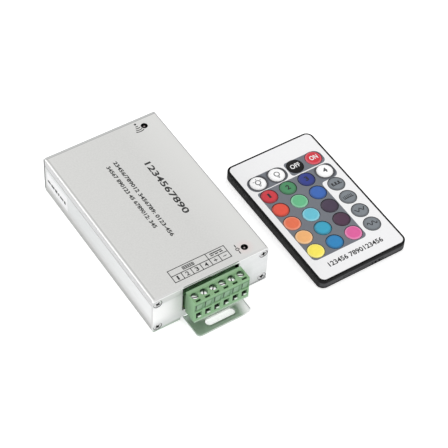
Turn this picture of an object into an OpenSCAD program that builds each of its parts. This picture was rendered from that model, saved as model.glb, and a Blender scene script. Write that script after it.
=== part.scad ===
// A led strip controller in an aluminium case, with its pluggable six-way screw terminal,
// and the card-shaped remote that belongs to it. All lengths are in millimetres.
// The origin is the middle of the case's underside. The terminal faces -Y and +Z is up.

/* [Case] */
// Width of the case
case_w = 64; // [60:1:80]
// Length of the case over its two end plates
case_l = 104; // [98:1:140]
// Height of the case
case_h = 23.3; // [23:0.1:30]
// Wall of the extruded sleeve
sleeve_wall = 1.5; // [1.2:0.1:1.8]
// Radius of the four long edges
case_edge_r = 1; // [0.5:0.1:1.2]
// Thickness of the end plates and of the feet bent out of them
plate_t = 1.2; // [1:0.1:1.6]

/* [Mounting feet] */
// Width of a foot
foot_w = 30; // [26:1:36]
// How far a foot stands out from its end plate
foot_reach = 13.6; // [12:0.1:18]
// Length of the long slot in a foot
slot_l = 16.2; // [8:0.1:20]
// Width of that slot
slot_w = 4.3; // [3.2:0.1:5]
// Middle of the slot, out from the end plate
slot_out = 8.8; // [8:0.1:10]

/* [Case screws] */
// Thread diameter of the end plates' screws
case_screw_d = 2.4; // [2:0.1:2.6]
// Head diameter of those screws
case_head_d = 4.6; // [4:0.1:5]
// Length of those screws
case_screw_l = 8; // [6:1:12]

/* [Circuit board] */
// Height of the board's underside
board_z = 5.2; // [5.2:0.1:5.8]
// Thickness of the board
board_t = 1.6; // [1.2:0.1:1.8]
// Diameter of the two indicator leds
led_d = 3; // [2.6:0.1:3.2]
// Distance of the leds from the case's right side
led_in = 9.8; // [8:0.1:14]
// Distance of each led from its end of the case
led_from_end = 6.1; // [6:0.1:10]

/* [Terminal] */
// Distance from one pole to the next
pitch = 5.08; // [5:0.02:5.2]
// Height of the plug's block
plug_h = 14.6; // [13.6:0.1:14.8]
// Depth of the plug's block, front to back
plug_d = 8; // [7.8:0.1:10]
// Diameter of a terminal screw's head
clamp_head_d = 3.5; // [3.4:0.1:4]
// Diameter of a terminal screw's thread
clamp_thread_d = 2.4; // [2:0.1:3]
// Side of a wire entry
entry_s = 3.2; // [2.6:0.1:3.4]

/* [Remote] */
// Width of the remote
remote_w = 52; // [50:1:60]
// Length of the remote
remote_l = 86; // [84:1:100]
// Thickness of the remote without its keys
remote_h = 6; // [6:0.1:8]
// Place of the remote's middle, to the right of the case's middle
remote_x = 75.9; // [64:0.1:120]
// Place of the remote's middle, along the case
remote_y = -29.7; // [-60:0.1:60]
// Radius of the remote's four corners, seen from above
remote_corner_r = 4; // [3:0.1:6]
// Radius of its lower edge
remote_edge_r = 1.4; // [1:0.1:2.6]
// Diameter of a key
key_d = 8.6; // [7:0.1:9]
// Distance between keys across the remote
key_pitch_x = 11.3; // [10.5:0.1:11.6]
// Distance between keys along the remote
key_pitch_y = 10.2; // [10:0.1:11]
// How far a key stands above the printed sheet
key_proud = 0.6; // [0.4:0.1:1]

/* [Coin cell] */
// Diameter of the coin cell
cell_d = 20; // [16:0.1:20.4]
// Thickness of the coin cell
cell_h = 2.5; // [1.6:0.1:2.5]

/* [Hidden] */

$fn = 48;
// Every cut runs past the surface that it opens by this much
overrun = 0.5;

// Sleeve: board rails, screw ports and the thin line along each side
sleeve_l = case_l - 2 * plate_t;
inner_w = case_w - 2 * sleeve_wall;
rail_reach = 1.8;
rail_t = 1;
rail_clear = 0.1;
port_d = 3.9;
case_screw_in = 2.7;
case_screw_up = 3.15;
case_screw_clear = 0.05;
side_line_down = 4.1;
side_line_w = 0.5;
side_line_deep = 0.3;

// End plates: the bend of a foot and the relief notches beside it
bend_r = 0.8;
foot_corner_r = 2;
relief_w = 1.8;
relief_h = plate_t + bend_r;
relief_corner_r = 1.2;
bend_lap = 0.5;

// Case screws: the countersunk head leaves a little plate under it
head_rest = 0.1;
case_head_h = plate_t - head_rest;
recess_l = 2.6;
recess_w = 0.6;
recess_deep = 0.7;

// Circuit board
board_top = board_z + board_t;
board_side_clear = 0.3;
board_end_clear = 0.4;
board_w = inner_w - 2 * board_side_clear;
board_l = sleeve_l - 2 * board_end_clear;

// Plug, seen from its front: block, nose, entries with a ramp, sloping panels and test slots
poles = 6;
plug_trim = 0.18;
plug_w = poles * pitch - plug_trim;
plug_gap = 1.5;
plug_lift = 0.2;
plug_z = board_top + plug_lift;
plug_back = -case_l / 2 - plug_gap;
plug_front = plug_back - plug_d;
plug_top = plug_z + plug_h;
nose_side_step = 0.6;
nose_w = plug_w - 2 * nose_side_step;
nose_up = 0.9;
nose_h = 7.4;
nose_z = plug_z + nose_up;
nose_l = 12.5;
nose_end = plug_back + nose_l;
nose_clear = 0.2;
entry_up = 4.9;
entry_z = plug_z + entry_up;
entry_ramp_drop = 0.7;
entry_ramp_deep = 1.4;
panel_w = 3.9;
panel_deep = 0.7;
panel_low = 7.6;
panel_high = 1.8;
test_slot_l = 2.8;
test_slot_w = 1.3;
test_slot_deep = 2.6;
test_slot_in = 1;

// Wire clamp: a cage that rises on its screw and pinches the wire under the contact bar
clamp_in = 4.3;
clamp_y = plug_front + clamp_in;
clamp_wall = 0.5;
screw_clear = 0.1;
clamp_w = clamp_thread_d + 2 * screw_clear + 2 * clamp_wall;
clamp_d = 4.5;
clamp_floor = 0.6;
clamp_roof = 1;
clamp_clear = 0.2;
clamp_slack = 0.3;
clamp_rise = 2.375;
clamp_z = entry_z - entry_s / 2 - clamp_floor - clamp_slack;
bar_w = 2;
bar_t = 0.8;
bar_dip = 0.1;
bar_z = entry_z + entry_s / 2 - bar_dip;
roof_z = bar_z + bar_t + clamp_slack + clamp_clear;
clamp_top = roof_z + clamp_roof;
chamber_top = clamp_top + clamp_rise + clamp_clear;
screw_tip_gap = 0.1;
shaft_clear = 0.2;
clamp_head_h = 1.7;
driver_slot_w = 0.7;
driver_slot_deep = 0.9;
// How each terminal screw's slot happens to be turned
slot_turns = [-20, 60, 50, -15, 65, -30];

// Sockets in the plug's nose and the pins that enter them
pin_s = 1;
pin_z = nose_z + nose_h / 2;
pin_clear = 0.2;
pin_fit = 0.05;
pin_reach = 7.4;
pin_foot = 1.8;
pin_back = 1.5;
pin_hole_d = pin_s * sqrt(2) + 2 * pin_clear;
socket_wall = 0.5;
socket_s = pin_s + 2 * pin_clear + 2 * socket_wall;
socket_inset = 1.2;
web_t = 0.8;
channel_clear = 0.2;

// Header: the fixed half of the terminal, behind the front end plate
header_gap = 0.4;
header_wall = 0.85;
header_back_wall = 1.6;
header_l = 12;
header_front = -sleeve_l / 2 + header_gap;
header_back = header_front + header_l;
header_inner = header_back - header_back_wall;
header_top = nose_z + nose_h + nose_clear + header_wall;
pin_drop_y = header_back + pin_back - pin_s / 2;
cutout_clear = 0.4;

// Leds, receiver and what else stands on the board
led_x = case_w / 2 - led_in;
led_y = case_l / 2 - led_from_end;
led_gap = 0.3;
led_sink = 0.4;
led_h = 5.3;
led_z = case_h - led_sink - led_h;
led_flange_h = 1;
led_flange_out = 0.4;
lead_s = 0.5;
lead_pitch = 2.54;
eye_w = 6;
eye_d = 4;
eye_h = 7;
eye_up = 2.2;
eye_r = 2.4;
eye_gap = 0.4;
window_d = 5.6;
eye_z = board_top + eye_up + eye_h / 2;
eye_lead_share = 0.8;
fet_w = 10;
fet_body_l = 9;
fet_body_h = 4.4;
fet_tab_l = 6.4;
fet_tab_t = 1.3;
fet_hole_d = 3.6;
fet_lead_l = 4;
fet_lead_w = 0.8;
fet_lead_up = 2.4;
fet_pitch = 14;
fet_y_share = -0.18;
fet_x_share = -0.1;
capacitor_d = 8;
capacitor_headroom = 3.5;
capacitor_h = case_h - sleeve_wall - capacitor_headroom - board_top;
capacitor_groove_up = 1.6;
capacitor_groove_w = 0.8;
capacitor_groove_deep = 0.4;
capacitor_place_shares = [[0.36, -0.04], [0.36, 0.12], [-0.34, 0.16]];
chip_w = 4;
chip_h = 1.5;
chip_up = 0.15;
chip_lead_pitch = 1.27;
chip_lead_w = 0.45;
chip_lead_t = 0.2;
chip_lead_out = 1;
chip_pins_per_side = [8, 4];
chip_y_shares = [0.16, 0.3];
regulator_w = 6.6;
regulator_l = 6.1;
regulator_h = 2.3;
regulator_tab_t = 0.5;
regulator_tab_l = 3;
regulator_lead_share = 1 / 3;
regulator_place_shares = [0.36, -0.24];

// Remote, from the surface up: base, cell, board, keys, deck, printed sheet
remote_wall = 1.2;
floor_t = 0.8;
split_share = 0.53;
split_z = split_share * remote_h;
rim_left = 1.4;
rim_right = 0.8;
rim_near = 1.15;
rim_far = 0.75;
rim_rise = 0.1;
overlay_t = 0.2;
overlay_clear = 0.1;
deck_t = 0.8;
overlay_z = remote_h - rim_rise - overlay_t;
deck_z = overlay_z - deck_t;
tray_floor = 0.5;
cell_z = tray_floor;
cell_gap = 0.5;
remote_board_z = cell_z + cell_h + cell_gap;
remote_board_t = 0.6;
remote_board_top = remote_board_z + remote_board_t;
remote_board_clear = 0.4;
remote_board_back = 5.4;
post_r = 1.2;

// Keys, from the near end of the remote; the first row is the nearest
key_cols = 4;
key_rows = 6;
key_x0 = 0.4;
key_y0 = 18.4;
key_clear = 0.3;
key_flange_out = 0.5;
key_flange_t = 0.3;
key_flange_gap = 0.1;
key_edge_r = 0.5;
key_top = overlay_z + overlay_t + key_proud;
key_bottom = deck_z - key_flange_gap - key_flange_t;

// Battery tray and its contacts
tray_x = -0.7;
tray_side = 1.55;
tray_clear = 0.3;
cell_clear = 0.15;
lip_t = 2;
tray_back_wall = 1.6;
cell_y = lip_t + cell_clear + cell_d / 2;
tray_w = cell_d + 2 * cell_clear + 2 * tray_side;
tray_l = cell_y + cell_d / 2 + cell_clear + tray_back_wall;
tray_top = cell_z + cell_h - cell_clear / 2;
nail_w = 7.2;
nail_in = 0.9;
nail_deep = 0.7;
nail_h = 1.5;
cap_d_share = 0.88;
cap_rise = 0.3;
tongue_w = 5;
tongue_l = 12;
tongue_t = 0.3;
strip_t = 0.4;

// Remote's led, chip and board posts
emitter_d = 3;
emitter_l = 4.2;
emitter_flange = 0.15;
emitter_flange_l = 0.8;
emitter_clear = 0.1;
emitter_proud = 0.5;
emitter_lead_l = 3;
remote_chip_w = 5;
remote_chip_l = 6;
remote_chip_h = 1;
remote_chip_y_share = 0.55;

// A flat shape drawn in X and Z, run along Y from y0 to y1
module along_y(y0, y1) {
    translate([0, y1, 0]) rotate([90, 0, 0]) linear_extrude(y1 - y0) children();
}

// A flat shape drawn in Y and Z, run along X from x0 to x1
module along_x(x0, x1) {
    translate([x0, 0, 0]) rotate([90, 0, 90]) linear_extrude(x1 - x0) children();
}

// A rectangle with round corners, centred
module round_rect(w, h, r) {
    square([w - 2 * r, h], center = true);
    square([w, h - 2 * r], center = true);
    for (x = [-1, 1], y = [-1, 1])
        translate([x * (w / 2 - r), y * (h / 2 - r)]) circle(r);
}

// A box centred in X and Y that stands on its own base
module standing_box(w, d, h) {
    translate([-w / 2, -d / 2, 0]) cube([w, d, h]);
}

// One copy at each pole of the terminal
module at_poles() {
    for (i = [1:poles]) translate([pole_x(i), 0, 0]) children();
}
function pole_x(i) = (i - (poles + 1) / 2) * pitch;

// Places of the four screws of one end plate, in X and Z
module at_case_screws() {
    for (x = [-1, 1], z = [case_screw_up, case_h - case_screw_up])
        translate([x * (case_w / 2 - case_screw_in), z]) children();
}

module case_outline() {
    translate([0, case_h / 2]) round_rect(case_w, case_h, case_edge_r);
}

// Ledges that hold the board from below and above
module board_rails() {
    for (side = [-1, 1], z = [board_z - rail_t, board_top + rail_clear])
        translate([side * (inner_w / 2 - rail_reach / 2), z + rail_t / 2])
            square([rail_reach + 2 * overrun, rail_t], center = true);
}

module sleeve_outline() {
    difference() {
        case_outline();
        difference() {
            translate([0, case_h / 2]) square([inner_w, case_h - 2 * sleeve_wall], center = true);
            board_rails();
            at_case_screws() circle(d = port_d);
        }
        at_case_screws() circle(d = case_screw_d + 2 * case_screw_clear);
        for (side = [-1, 1])
            translate([side * case_w / 2, case_h - side_line_down])
                square([2 * side_line_deep, side_line_w], center = true);
    }
}

module case_sleeve() {
    color("gainsboro")
    difference() {
        along_y(-sleeve_l / 2, sleeve_l / 2) sleeve_outline();
        for (side = [-1, 1])
            translate([led_x, side * led_y, case_h - sleeve_wall - overrun])
                cylinder(d = led_d + 2 * led_gap, h = sleeve_wall + 2 * overrun);
    }
}

// The bent sheet of a foot, from its toe to the upright, in Y and Z
module foot_section() {
    translate([-foot_reach, 0]) square([foot_reach - bend_r, plate_t]);
    translate([0, relief_h]) square([plate_t, bend_lap]);
    translate([-bend_r, relief_h])
        intersection() {
            difference() {
                circle(bend_r + plate_t);
                circle(bend_r);
            }
            translate([0, -relief_h]) square([relief_h, relief_h]);
        }
}

module foot_plan() {
    difference() {
        union() {
            translate([-foot_w / 2, foot_corner_r - foot_reach])
                square([foot_w, foot_reach + plate_t - foot_corner_r]);
            translate([foot_corner_r - foot_w / 2, -foot_reach])
                square([foot_w - 2 * foot_corner_r, foot_reach]);
            for (side = [-1, 1])
                translate([side * (foot_w / 2 - foot_corner_r), foot_corner_r - foot_reach])
                    circle(foot_corner_r);
        }
        translate([0, -slot_out]) {
            square([slot_l - slot_w, slot_w], center = true);
            for (side = [-1, 1]) translate([side * (slot_l - slot_w) / 2, 0]) circle(d = slot_w);
        }
    }
}

// The gap in a plate's lower edge where the foot bends out, with its two round corners
module bend_relief() {
    half = foot_w / 2 + relief_w;
    translate([-half, -overrun]) square([2 * half, relief_h - relief_corner_r + overrun]);
    translate([relief_corner_r - half, -overrun])
        square([2 * (half - relief_corner_r), relief_h + overrun]);
    for (side = [-1, 1])
        translate([side * (half - relief_corner_r), relief_h - relief_corner_r]) circle(relief_corner_r);
}

// An end plate with its foot, its outer face at Y = 0 and the foot towards -Y
module end_plate() {
    difference() {
        along_y(0, plate_t) difference() {
            case_outline();
            bend_relief();
        }
        at_case_screws_upright() countersink();
    }
    intersection() {
        along_x(-foot_w / 2, foot_w / 2) foot_section();
        linear_extrude(relief_h + bend_lap) foot_plan();
    }
}

// Turns what is drawn along +Z so that it runs into the case, at each screw's place
module at_case_screws_upright() {
    for (x = [-1, 1], z = [case_screw_up, case_h - case_screw_up])
        translate([x * (case_w / 2 - case_screw_in), 0, z]) rotate([-90, 0, 0]) children();
}

module countersink() {
    r_head = case_head_d / 2 + case_screw_clear;
    r_shank = case_screw_d / 2 + case_screw_clear;
    cylinder(r1 = r_head, r2 = r_shank, h = case_head_h);
    cylinder(r = r_shank, h = plate_t + overrun);
    translate([0, 0, -overrun]) cylinder(r = r_head, h = overrun);
}

module front_end_plate() {
    color("silver")
    translate([0, -case_l / 2, 0]) difference() {
        end_plate();
        translate([-plug_w / 2 - cutout_clear, -overrun, plug_z - cutout_clear])
            cube([plug_w + 2 * cutout_clear, plate_t + 2 * overrun, plug_h + 2 * cutout_clear]);
    }
}

module rear_end_plate() {
    color("silver")
    rotate([0, 0, 180]) translate([0, -case_l / 2, 0]) difference() {
        end_plate();
        translate([0, -overrun, eye_z]) rotate([-90, 0, 0])
            cylinder(d = window_d, h = plate_t + 2 * overrun);
    }
}

module case_screw() {
    difference() {
        union() {
            cylinder(d1 = case_head_d, d2 = case_screw_d, h = case_head_h);
            cylinder(d = case_screw_d, h = case_screw_l);
        }
        for (turn = [45, 135]) rotate([0, 0, turn])
            translate([-recess_l / 2, -recess_w / 2, -overrun])
                cube([recess_l, recess_w, recess_deep + overrun]);
    }
}

module end_plate_screws() {
    color("lightsteelblue")
    for (turn = [0, 180]) rotate([0, 0, turn])
        translate([0, -case_l / 2, 0]) at_case_screws_upright() case_screw();
}

module circuit_board() {
    color("darkgreen")
    difference() {
        translate([0, 0, board_z]) standing_box(board_w, board_l, board_t);
        at_poles() translate([0, pin_drop_y, board_z - overrun])
            cylinder(d = pin_hole_d, h = board_t + 2 * overrun);
    }
}

module terminal_header() {
    cavity_w = nose_w + 2 * nose_clear;
    color("mediumseagreen")
    difference() {
        translate([-cavity_w / 2 - header_wall, header_front, board_top])
            cube([cavity_w + 2 * header_wall, header_l, header_top - board_top]);
        translate([-cavity_w / 2, header_front - overrun, nose_z - nose_clear])
            cube([cavity_w, header_inner - header_front + overrun, nose_h + 2 * nose_clear]);
        at_poles() translate([-pin_s / 2 - pin_fit, header_inner - overrun, pin_z - pin_s / 2 - pin_fit])
            cube([pin_s + 2 * pin_fit, header_back_wall + 2 * overrun, pin_s + 2 * pin_fit]);
    }
}

module header_pins() {
    tip = header_inner - pin_reach;
    low = board_z - pin_foot;
    color("silver")
    at_poles() {
        translate([-pin_s / 2, tip, pin_z - pin_s / 2])
            cube([pin_s, pin_drop_y + pin_s / 2 - tip, pin_s]);
        translate([-pin_s / 2, pin_drop_y - pin_s / 2, low])
            cube([pin_s, pin_s, pin_z + pin_s / 2 - low]);
    }
}

module led() {
    r = led_d / 2;
    cylinder(r = r + led_flange_out, h = led_flange_h);
    cylinder(r = r, h = led_h - r);
    translate([0, 0, led_h - r]) sphere(r);
    for (side = [-1, 1]) translate([side * lead_pitch / 2, 0, board_top - led_z])
        standing_box(lead_s, lead_s, led_z - board_top + led_flange_h / 2);
}

module indicator_leds() {
    color("mistyrose")
    for (side = [-1, 1]) translate([led_x, side * led_y, led_z]) led();
}

// A power transistor lying on its tab, with its leads bent down to the board
module lying_transistor() {
    translate([-fet_w / 2, 0, 0]) cube([fet_w, fet_body_l, fet_body_h]);
    difference() {
        translate([-fet_w / 2, 0, 0]) cube([fet_w, fet_body_l + fet_tab_l, fet_tab_t]);
        translate([0, fet_body_l + fet_tab_l / 2, -overrun])
            cylinder(d = fet_hole_d, h = fet_tab_t + 2 * overrun);
    }
    for (k = [-1, 0, 1]) translate([k * lead_pitch, 0, 0]) {
        translate([-fet_lead_w / 2, -fet_lead_l, fet_lead_up - lead_s])
            cube([fet_lead_w, fet_lead_l + lead_s, lead_s]);
        translate([-fet_lead_w / 2, -fet_lead_l, 0]) cube([fet_lead_w, lead_s, fet_lead_up]);
    }
}

module mosfets() {
    color("dimgray")
    for (k = [-1, 0, 1])
        translate([fet_x_share * board_w + k * fet_pitch, fet_y_share * board_l, board_top])
            lying_transistor();
}

module capacitors() {
    r = capacitor_d / 2;
    color("midnightblue")
    for (place = capacitor_place_shares)
        translate([place.x * board_w, place.y * board_l, board_top])
            difference() {
                cylinder(r = r, h = capacitor_h);
                translate([0, 0, capacitor_groove_up]) difference() {
                    cylinder(r = r + overrun, h = capacitor_groove_w);
                    translate([0, 0, -overrun])
                        cylinder(r = r - capacitor_groove_deep, h = capacitor_groove_w + 2 * overrun);
                }
            }
}

// A chip with gull-wing leads along its two long sides, n on each
module chip(n) {
    l = n * chip_lead_pitch;
    translate([0, 0, chip_up]) standing_box(chip_w, l, chip_h);
    for (side = [-1, 1], k = [1:n])
        translate([side * chip_w / 2, (k - (n + 1) / 2) * chip_lead_pitch, 0]) {
            translate([side * chip_lead_out / 2, 0, 0])
                standing_box(chip_lead_out, chip_lead_w, chip_lead_t);
            translate([side * chip_lead_t / 2, 0, 0])
                standing_box(chip_lead_t * 2, chip_lead_w, chip_up + chip_h / 2);
        }
}

module control_chips() {
    color("darkslategray")
    for (k = [0, 1])
        translate([0, chip_y_shares[k] * board_l, board_top]) chip(chip_pins_per_side[k]);
}

module voltage_regulator() {
    color("dimgray")
    translate([regulator_place_shares.x * board_w, regulator_place_shares.y * board_l, board_top]) {
        standing_box(regulator_w, regulator_l, regulator_h);
        translate([0, regulator_l / 2, 0])
            standing_box(regulator_w, regulator_tab_l, regulator_tab_t);
        for (side = [-1, 1]) translate([side * regulator_lead_share * regulator_w, -regulator_l / 2, 0])
            standing_box(chip_lead_out, regulator_tab_l, regulator_tab_t);
    }
}

// The remote's eye, looking out of the window in the rear end plate
module ir_receiver() {
    front = case_l / 2 - plate_t - board_end_clear - eye_gap;
    color("black")
    translate([0, front - eye_r - eye_d, board_top]) {
        translate([-eye_w / 2, 0, eye_up]) cube([eye_w, eye_d, eye_h]);
        translate([0, eye_d, eye_z - board_top]) sphere(eye_r);
        for (k = [-1, 0, 1]) translate([k * lead_pitch * eye_lead_share, eye_d / 2, 0])
            standing_box(lead_s, lead_s, eye_up + lead_s);
    }
}

// Front face of the plug: over each entry a panel that slopes in, and a ramp up into the entry
module plug_front_relief() {
    panel_foot = plug_z + panel_low;
    panel_head = plug_top - panel_high;
    sill = entry_z - entry_s / 2;
    at_poles() translate([0, plug_front, 0]) {
        along_x(-panel_w / 2, panel_w / 2)
            polygon([[-overrun, panel_foot], [panel_deep, panel_foot], [0, panel_head], [-overrun, panel_head]]);
        along_x(-entry_s / 2, entry_s / 2)
            polygon([
                [-overrun, sill - entry_ramp_drop], [0, sill - entry_ramp_drop],
                [entry_ramp_deep, sill], [-overrun, sill],
            ]);
    }
}

// The hollows of one pole: wire entry, cage chamber, screw shaft, test slot and socket channel
module pole_hollows() {
    chamber_w = clamp_w + 2 * clamp_clear;
    chamber_d = clamp_d + 2 * clamp_clear;
    channel_w = socket_s + 2 * channel_clear;
    channel_z = pin_z - socket_s / 2 - channel_clear;
    translate([-entry_s / 2, plug_front - overrun, entry_z - entry_s / 2])
        cube([entry_s, clamp_in + overrun, entry_s]);
    translate([0, clamp_y, clamp_z - clamp_clear])
        standing_box(chamber_w, chamber_d, chamber_top - clamp_z + clamp_clear);
    translate([0, clamp_y, chamber_top - overrun])
        cylinder(d = clamp_head_d + 2 * shaft_clear, h = plug_top - chamber_top + 2 * overrun);
    translate([0, plug_front + test_slot_in, plug_top - test_slot_deep])
        standing_box(test_slot_l, test_slot_w, test_slot_deep + overrun);
    translate([-channel_w / 2, clamp_y, channel_z])
        cube([channel_w, nose_end - clamp_y + overrun, bar_z + bar_t + channel_clear - channel_z]);
}

module plug_body() {
    color("mediumseagreen")
    difference() {
        union() {
            translate([-plug_w / 2, plug_front, plug_z]) cube([plug_w, plug_d, plug_h]);
            translate([-nose_w / 2, plug_back - overrun, nose_z])
                cube([nose_w, nose_l + overrun, nose_h]);
        }
        plug_front_relief();
        at_poles() pole_hollows();
    }
}

// The bar inside each cage, the web behind it and the socket for the header's pin
module plug_contacts() {
    web_y = plug_back - web_t;
    bar_front = clamp_y - clamp_d / 2;
    color("goldenrod")
    at_poles() {
        translate([-bar_w / 2, bar_front, bar_z]) cube([bar_w, web_y + web_t - bar_front, bar_t]);
        translate([-bar_w / 2, web_y, pin_z - socket_s / 2])
            cube([bar_w, web_t, bar_z + bar_t - pin_z + socket_s / 2]);
        difference() {
            translate([-socket_s / 2, web_y, pin_z - socket_s / 2])
                cube([socket_s, nose_end - socket_inset - web_y, socket_s]);
            translate([-pin_s / 2 - pin_clear, web_y + web_t, pin_z - pin_s / 2 - pin_clear])
                cube([pin_s + 2 * pin_clear, nose_l, pin_s + 2 * pin_clear]);
        }
    }
}

// The screw of pole i, its tip just over the contact bar
module terminal_screw(i) {
    tip = bar_z + bar_t + screw_tip_gap;
    head_z = chamber_top + screw_tip_gap;
    color("whitesmoke")
    translate([pole_x(i), clamp_y, 0]) difference() {
        union() {
            translate([0, 0, tip]) cylinder(d = clamp_thread_d, h = head_z - tip + screw_tip_gap);
            translate([0, 0, head_z]) cylinder(d = clamp_head_d, h = clamp_head_h);
        }
        translate([0, 0, head_z + clamp_head_h - driver_slot_deep]) rotate([0, 0, slot_turns[i - 1]])
            standing_box(clamp_head_d + 2 * overrun, driver_slot_w, driver_slot_deep + overrun);
    }
}

// The cage of pole i: open front and back, with the screw's bore in its roof
module wire_clamp(i) {
    color("lightgray")
    translate([pole_x(i), clamp_y, 0]) difference() {
        translate([0, 0, clamp_z]) standing_box(clamp_w, clamp_d, clamp_top - clamp_z);
        translate([0, 0, clamp_z + clamp_floor])
            standing_box(clamp_w - 2 * clamp_wall, clamp_d + 2 * overrun, roof_z - clamp_z - clamp_floor);
        translate([0, 0, roof_z - overrun])
            cylinder(d = clamp_thread_d + 2 * screw_clear, h = clamp_roof + 2 * overrun);
    }
}

// Carries what is drawn in the remote's own frame, its near end at Y = 0, to its place
module at_remote() {
    translate([remote_x, remote_y - remote_l / 2, 0]) children();
}

// Half of the remote's section, w wide, with its lower outer edge rounded
module half_section(w) {
    translate([0, remote_edge_r]) square([w, remote_h - remote_edge_r]);
    square([w - remote_edge_r, remote_h]);
    translate([w - remote_edge_r, remote_edge_r]) circle(remote_edge_r);
}

module whole_section(w) {
    half_section(w / 2);
    mirror([1, 0]) half_section(w / 2);
}

// The remote's outer form, without keys or hollows
module remote_form() {
    along_y(remote_corner_r, remote_l - remote_corner_r) whole_section(remote_w);
    translate([0, remote_l / 2, 0])
        along_x(remote_corner_r - remote_w / 2, remote_w / 2 - remote_corner_r) whole_section(remote_l);
    for (x = [-1, 1], y = [remote_corner_r, remote_l - remote_corner_r])
        translate([x * (remote_w / 2 - remote_corner_r), y, 0])
            rotate_extrude() intersection() {
                half_section(remote_corner_r);
                square([remote_corner_r, remote_h]);
            }
}

// A plate in the remote's frame, inset from its outline on all sides
module remote_plate(inset, h) {
    translate([0, remote_l / 2, 0]) linear_extrude(h)
        round_rect(remote_w - 2 * inset, remote_l - 2 * inset, remote_corner_r - inset);
}

// A plate that fills the recess of the printed sheet, less a clearance on all sides
module sheet_plate(clear, h) {
    w = remote_w - rim_left - rim_right;
    l = remote_l - rim_near - rim_far;
    translate([(rim_left - rim_right) / 2, (remote_l + rim_near - rim_far) / 2, 0]) linear_extrude(h)
        round_rect(w - 2 * clear, l - 2 * clear, remote_corner_r - rim_near - clear);
}

// A slab wider and longer than the remote, from z0 to z1
module remote_slab(z0, z1) {
    translate([0, remote_l / 2, z0])
        standing_box(remote_w + 2 * overrun, remote_l + 2 * overrun, z1 - z0);
}

// Places of all keys, and of the posts between them
module at_keys() {
    for (row = [0:key_rows - 1], col = [0:key_cols - 1])
        translate([key_x(col), key_y(row), 0]) children();
}
function key_x(col) = key_x0 + (col - (key_cols - 1) / 2) * key_pitch_x;
function key_y(row) = key_y0 + row * key_pitch_y;

module at_posts() {
    for (row = [2, key_rows - 1], col = [1:key_cols - 1])
        translate([(key_x(col - 1) + key_x(col)) / 2, (key_y(row - 1) + key_y(row)) / 2, 0]) children();
}

module emitter_hole() {
    translate([0, remote_l - remote_wall - overrun, split_z]) rotate([-90, 0, 0])
        cylinder(d = emitter_d + 2 * emitter_clear, h = remote_wall + 2 * overrun);
}

module remote_base() {
    color([0.13, 0.13, 0.14])
    at_remote() {
        difference() {
            intersection() {
                remote_form();
                remote_slab(-overrun, split_z);
            }
            translate([0, 0, floor_t]) remote_plate(remote_wall, remote_h);
            translate([tray_x - tray_w / 2 - tray_clear, -overrun, -overrun])
                cube([tray_w + 2 * tray_clear, tray_l + tray_clear + overrun, remote_h]);
            emitter_hole();
        }
        at_posts() translate([0, 0, floor_t - overrun])
            cylinder(r = post_r, h = remote_board_z - floor_t + overrun);
    }
}

module remote_top_case() {
    color([0.13, 0.13, 0.14])
    at_remote() {
        difference() {
            intersection() {
                remote_form();
                remote_slab(split_z, remote_h + overrun);
            }
            translate([0, 0, split_z - overrun]) remote_plate(remote_wall, deck_z - split_z + overrun);
            translate([0, 0, overlay_z]) sheet_plate(0, remote_h);
            at_keys() translate([0, 0, deck_z - overrun])
                cylinder(d = key_d + 2 * key_clear, h = deck_t + 2 * overrun);
            emitter_hole();
        }
        at_posts() translate([0, 0, remote_board_top])
            cylinder(r = post_r, h = deck_z - remote_board_top + overrun);
    }
}

module remote_overlay() {
    color("whitesmoke")
    at_remote() translate([0, 0, overlay_z]) difference() {
        sheet_plate(overlay_clear, overlay_t);
        at_keys() translate([0, 0, -overrun])
            cylinder(d = key_d + 2 * key_clear, h = overlay_t + 2 * overrun);
    }
}

module remote_board() {
    margin = remote_wall + remote_board_clear;
    l = remote_l - margin - remote_board_back;
    color("darkgreen")
    at_remote() translate([0, margin + l / 2, remote_board_z]) linear_extrude(remote_board_t)
        round_rect(remote_w - 2 * margin, l, remote_corner_r - margin);
}

module remote_chip() {
    color("black")
    at_remote() translate([0, remote_chip_y_share * remote_l, remote_board_z - remote_chip_h])
        standing_box(remote_chip_w, remote_chip_l, remote_chip_h);
}

// The led that looks out of the far end, half in the base and half in the top case
module ir_emitter() {
    r = emitter_d / 2;
    tip = remote_l + emitter_proud;
    back = tip - r - emitter_l;
    color("lavender")
    at_remote() {
        translate([0, back, split_z]) rotate([-90, 0, 0]) {
            cylinder(r = r, h = emitter_l);
            cylinder(r = r + emitter_flange, h = emitter_flange_l);
        }
        translate([0, tip - r, split_z]) sphere(r);
        for (side = [-1, 1])
            translate([side * lead_pitch / 2 - lead_s / 2, back - emitter_lead_l, remote_board_z - lead_s])
                cube([lead_s, emitter_lead_l + lead_s, lead_s]);
    }
}

module battery_tray() {
    color([0.16, 0.16, 0.17])
    at_remote() difference() {
        intersection() {
            remote_form();
            translate([tray_x - tray_w / 2, -overrun, 0]) cube([tray_w, tray_l + overrun, tray_top]);
        }
        translate([tray_x, cell_y, cell_z]) cylinder(d = cell_d + 2 * cell_clear, h = remote_h);
        translate([tray_x + tray_w / 2 - nail_in - nail_w, -overrun, tray_top - nail_h])
            cube([nail_w, nail_deep + overrun, nail_h + overrun]);
    }
}

module coin_cell() {
    color("lightgray")
    at_remote() translate([tray_x, cell_y, cell_z]) {
        cylinder(d = cell_d, h = cell_h - cap_rise);
        cylinder(d = cap_d_share * cell_d, h = cell_h);
    }
}

// A tongue over the cell and a strip behind the tray, both on the board's underside
module battery_contacts() {
    tongue_z = remote_board_z - tongue_t;
    strip_y = tray_l + tray_clear;
    color("gold")
    at_remote() {
        translate([tray_x, cell_y, tongue_z]) standing_box(tongue_w, tongue_l, tongue_t);
        translate([tray_x - tongue_w / 2, strip_y, floor_t])
            cube([tongue_w, strip_t, remote_board_z - floor_t]);
    }
}

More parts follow.
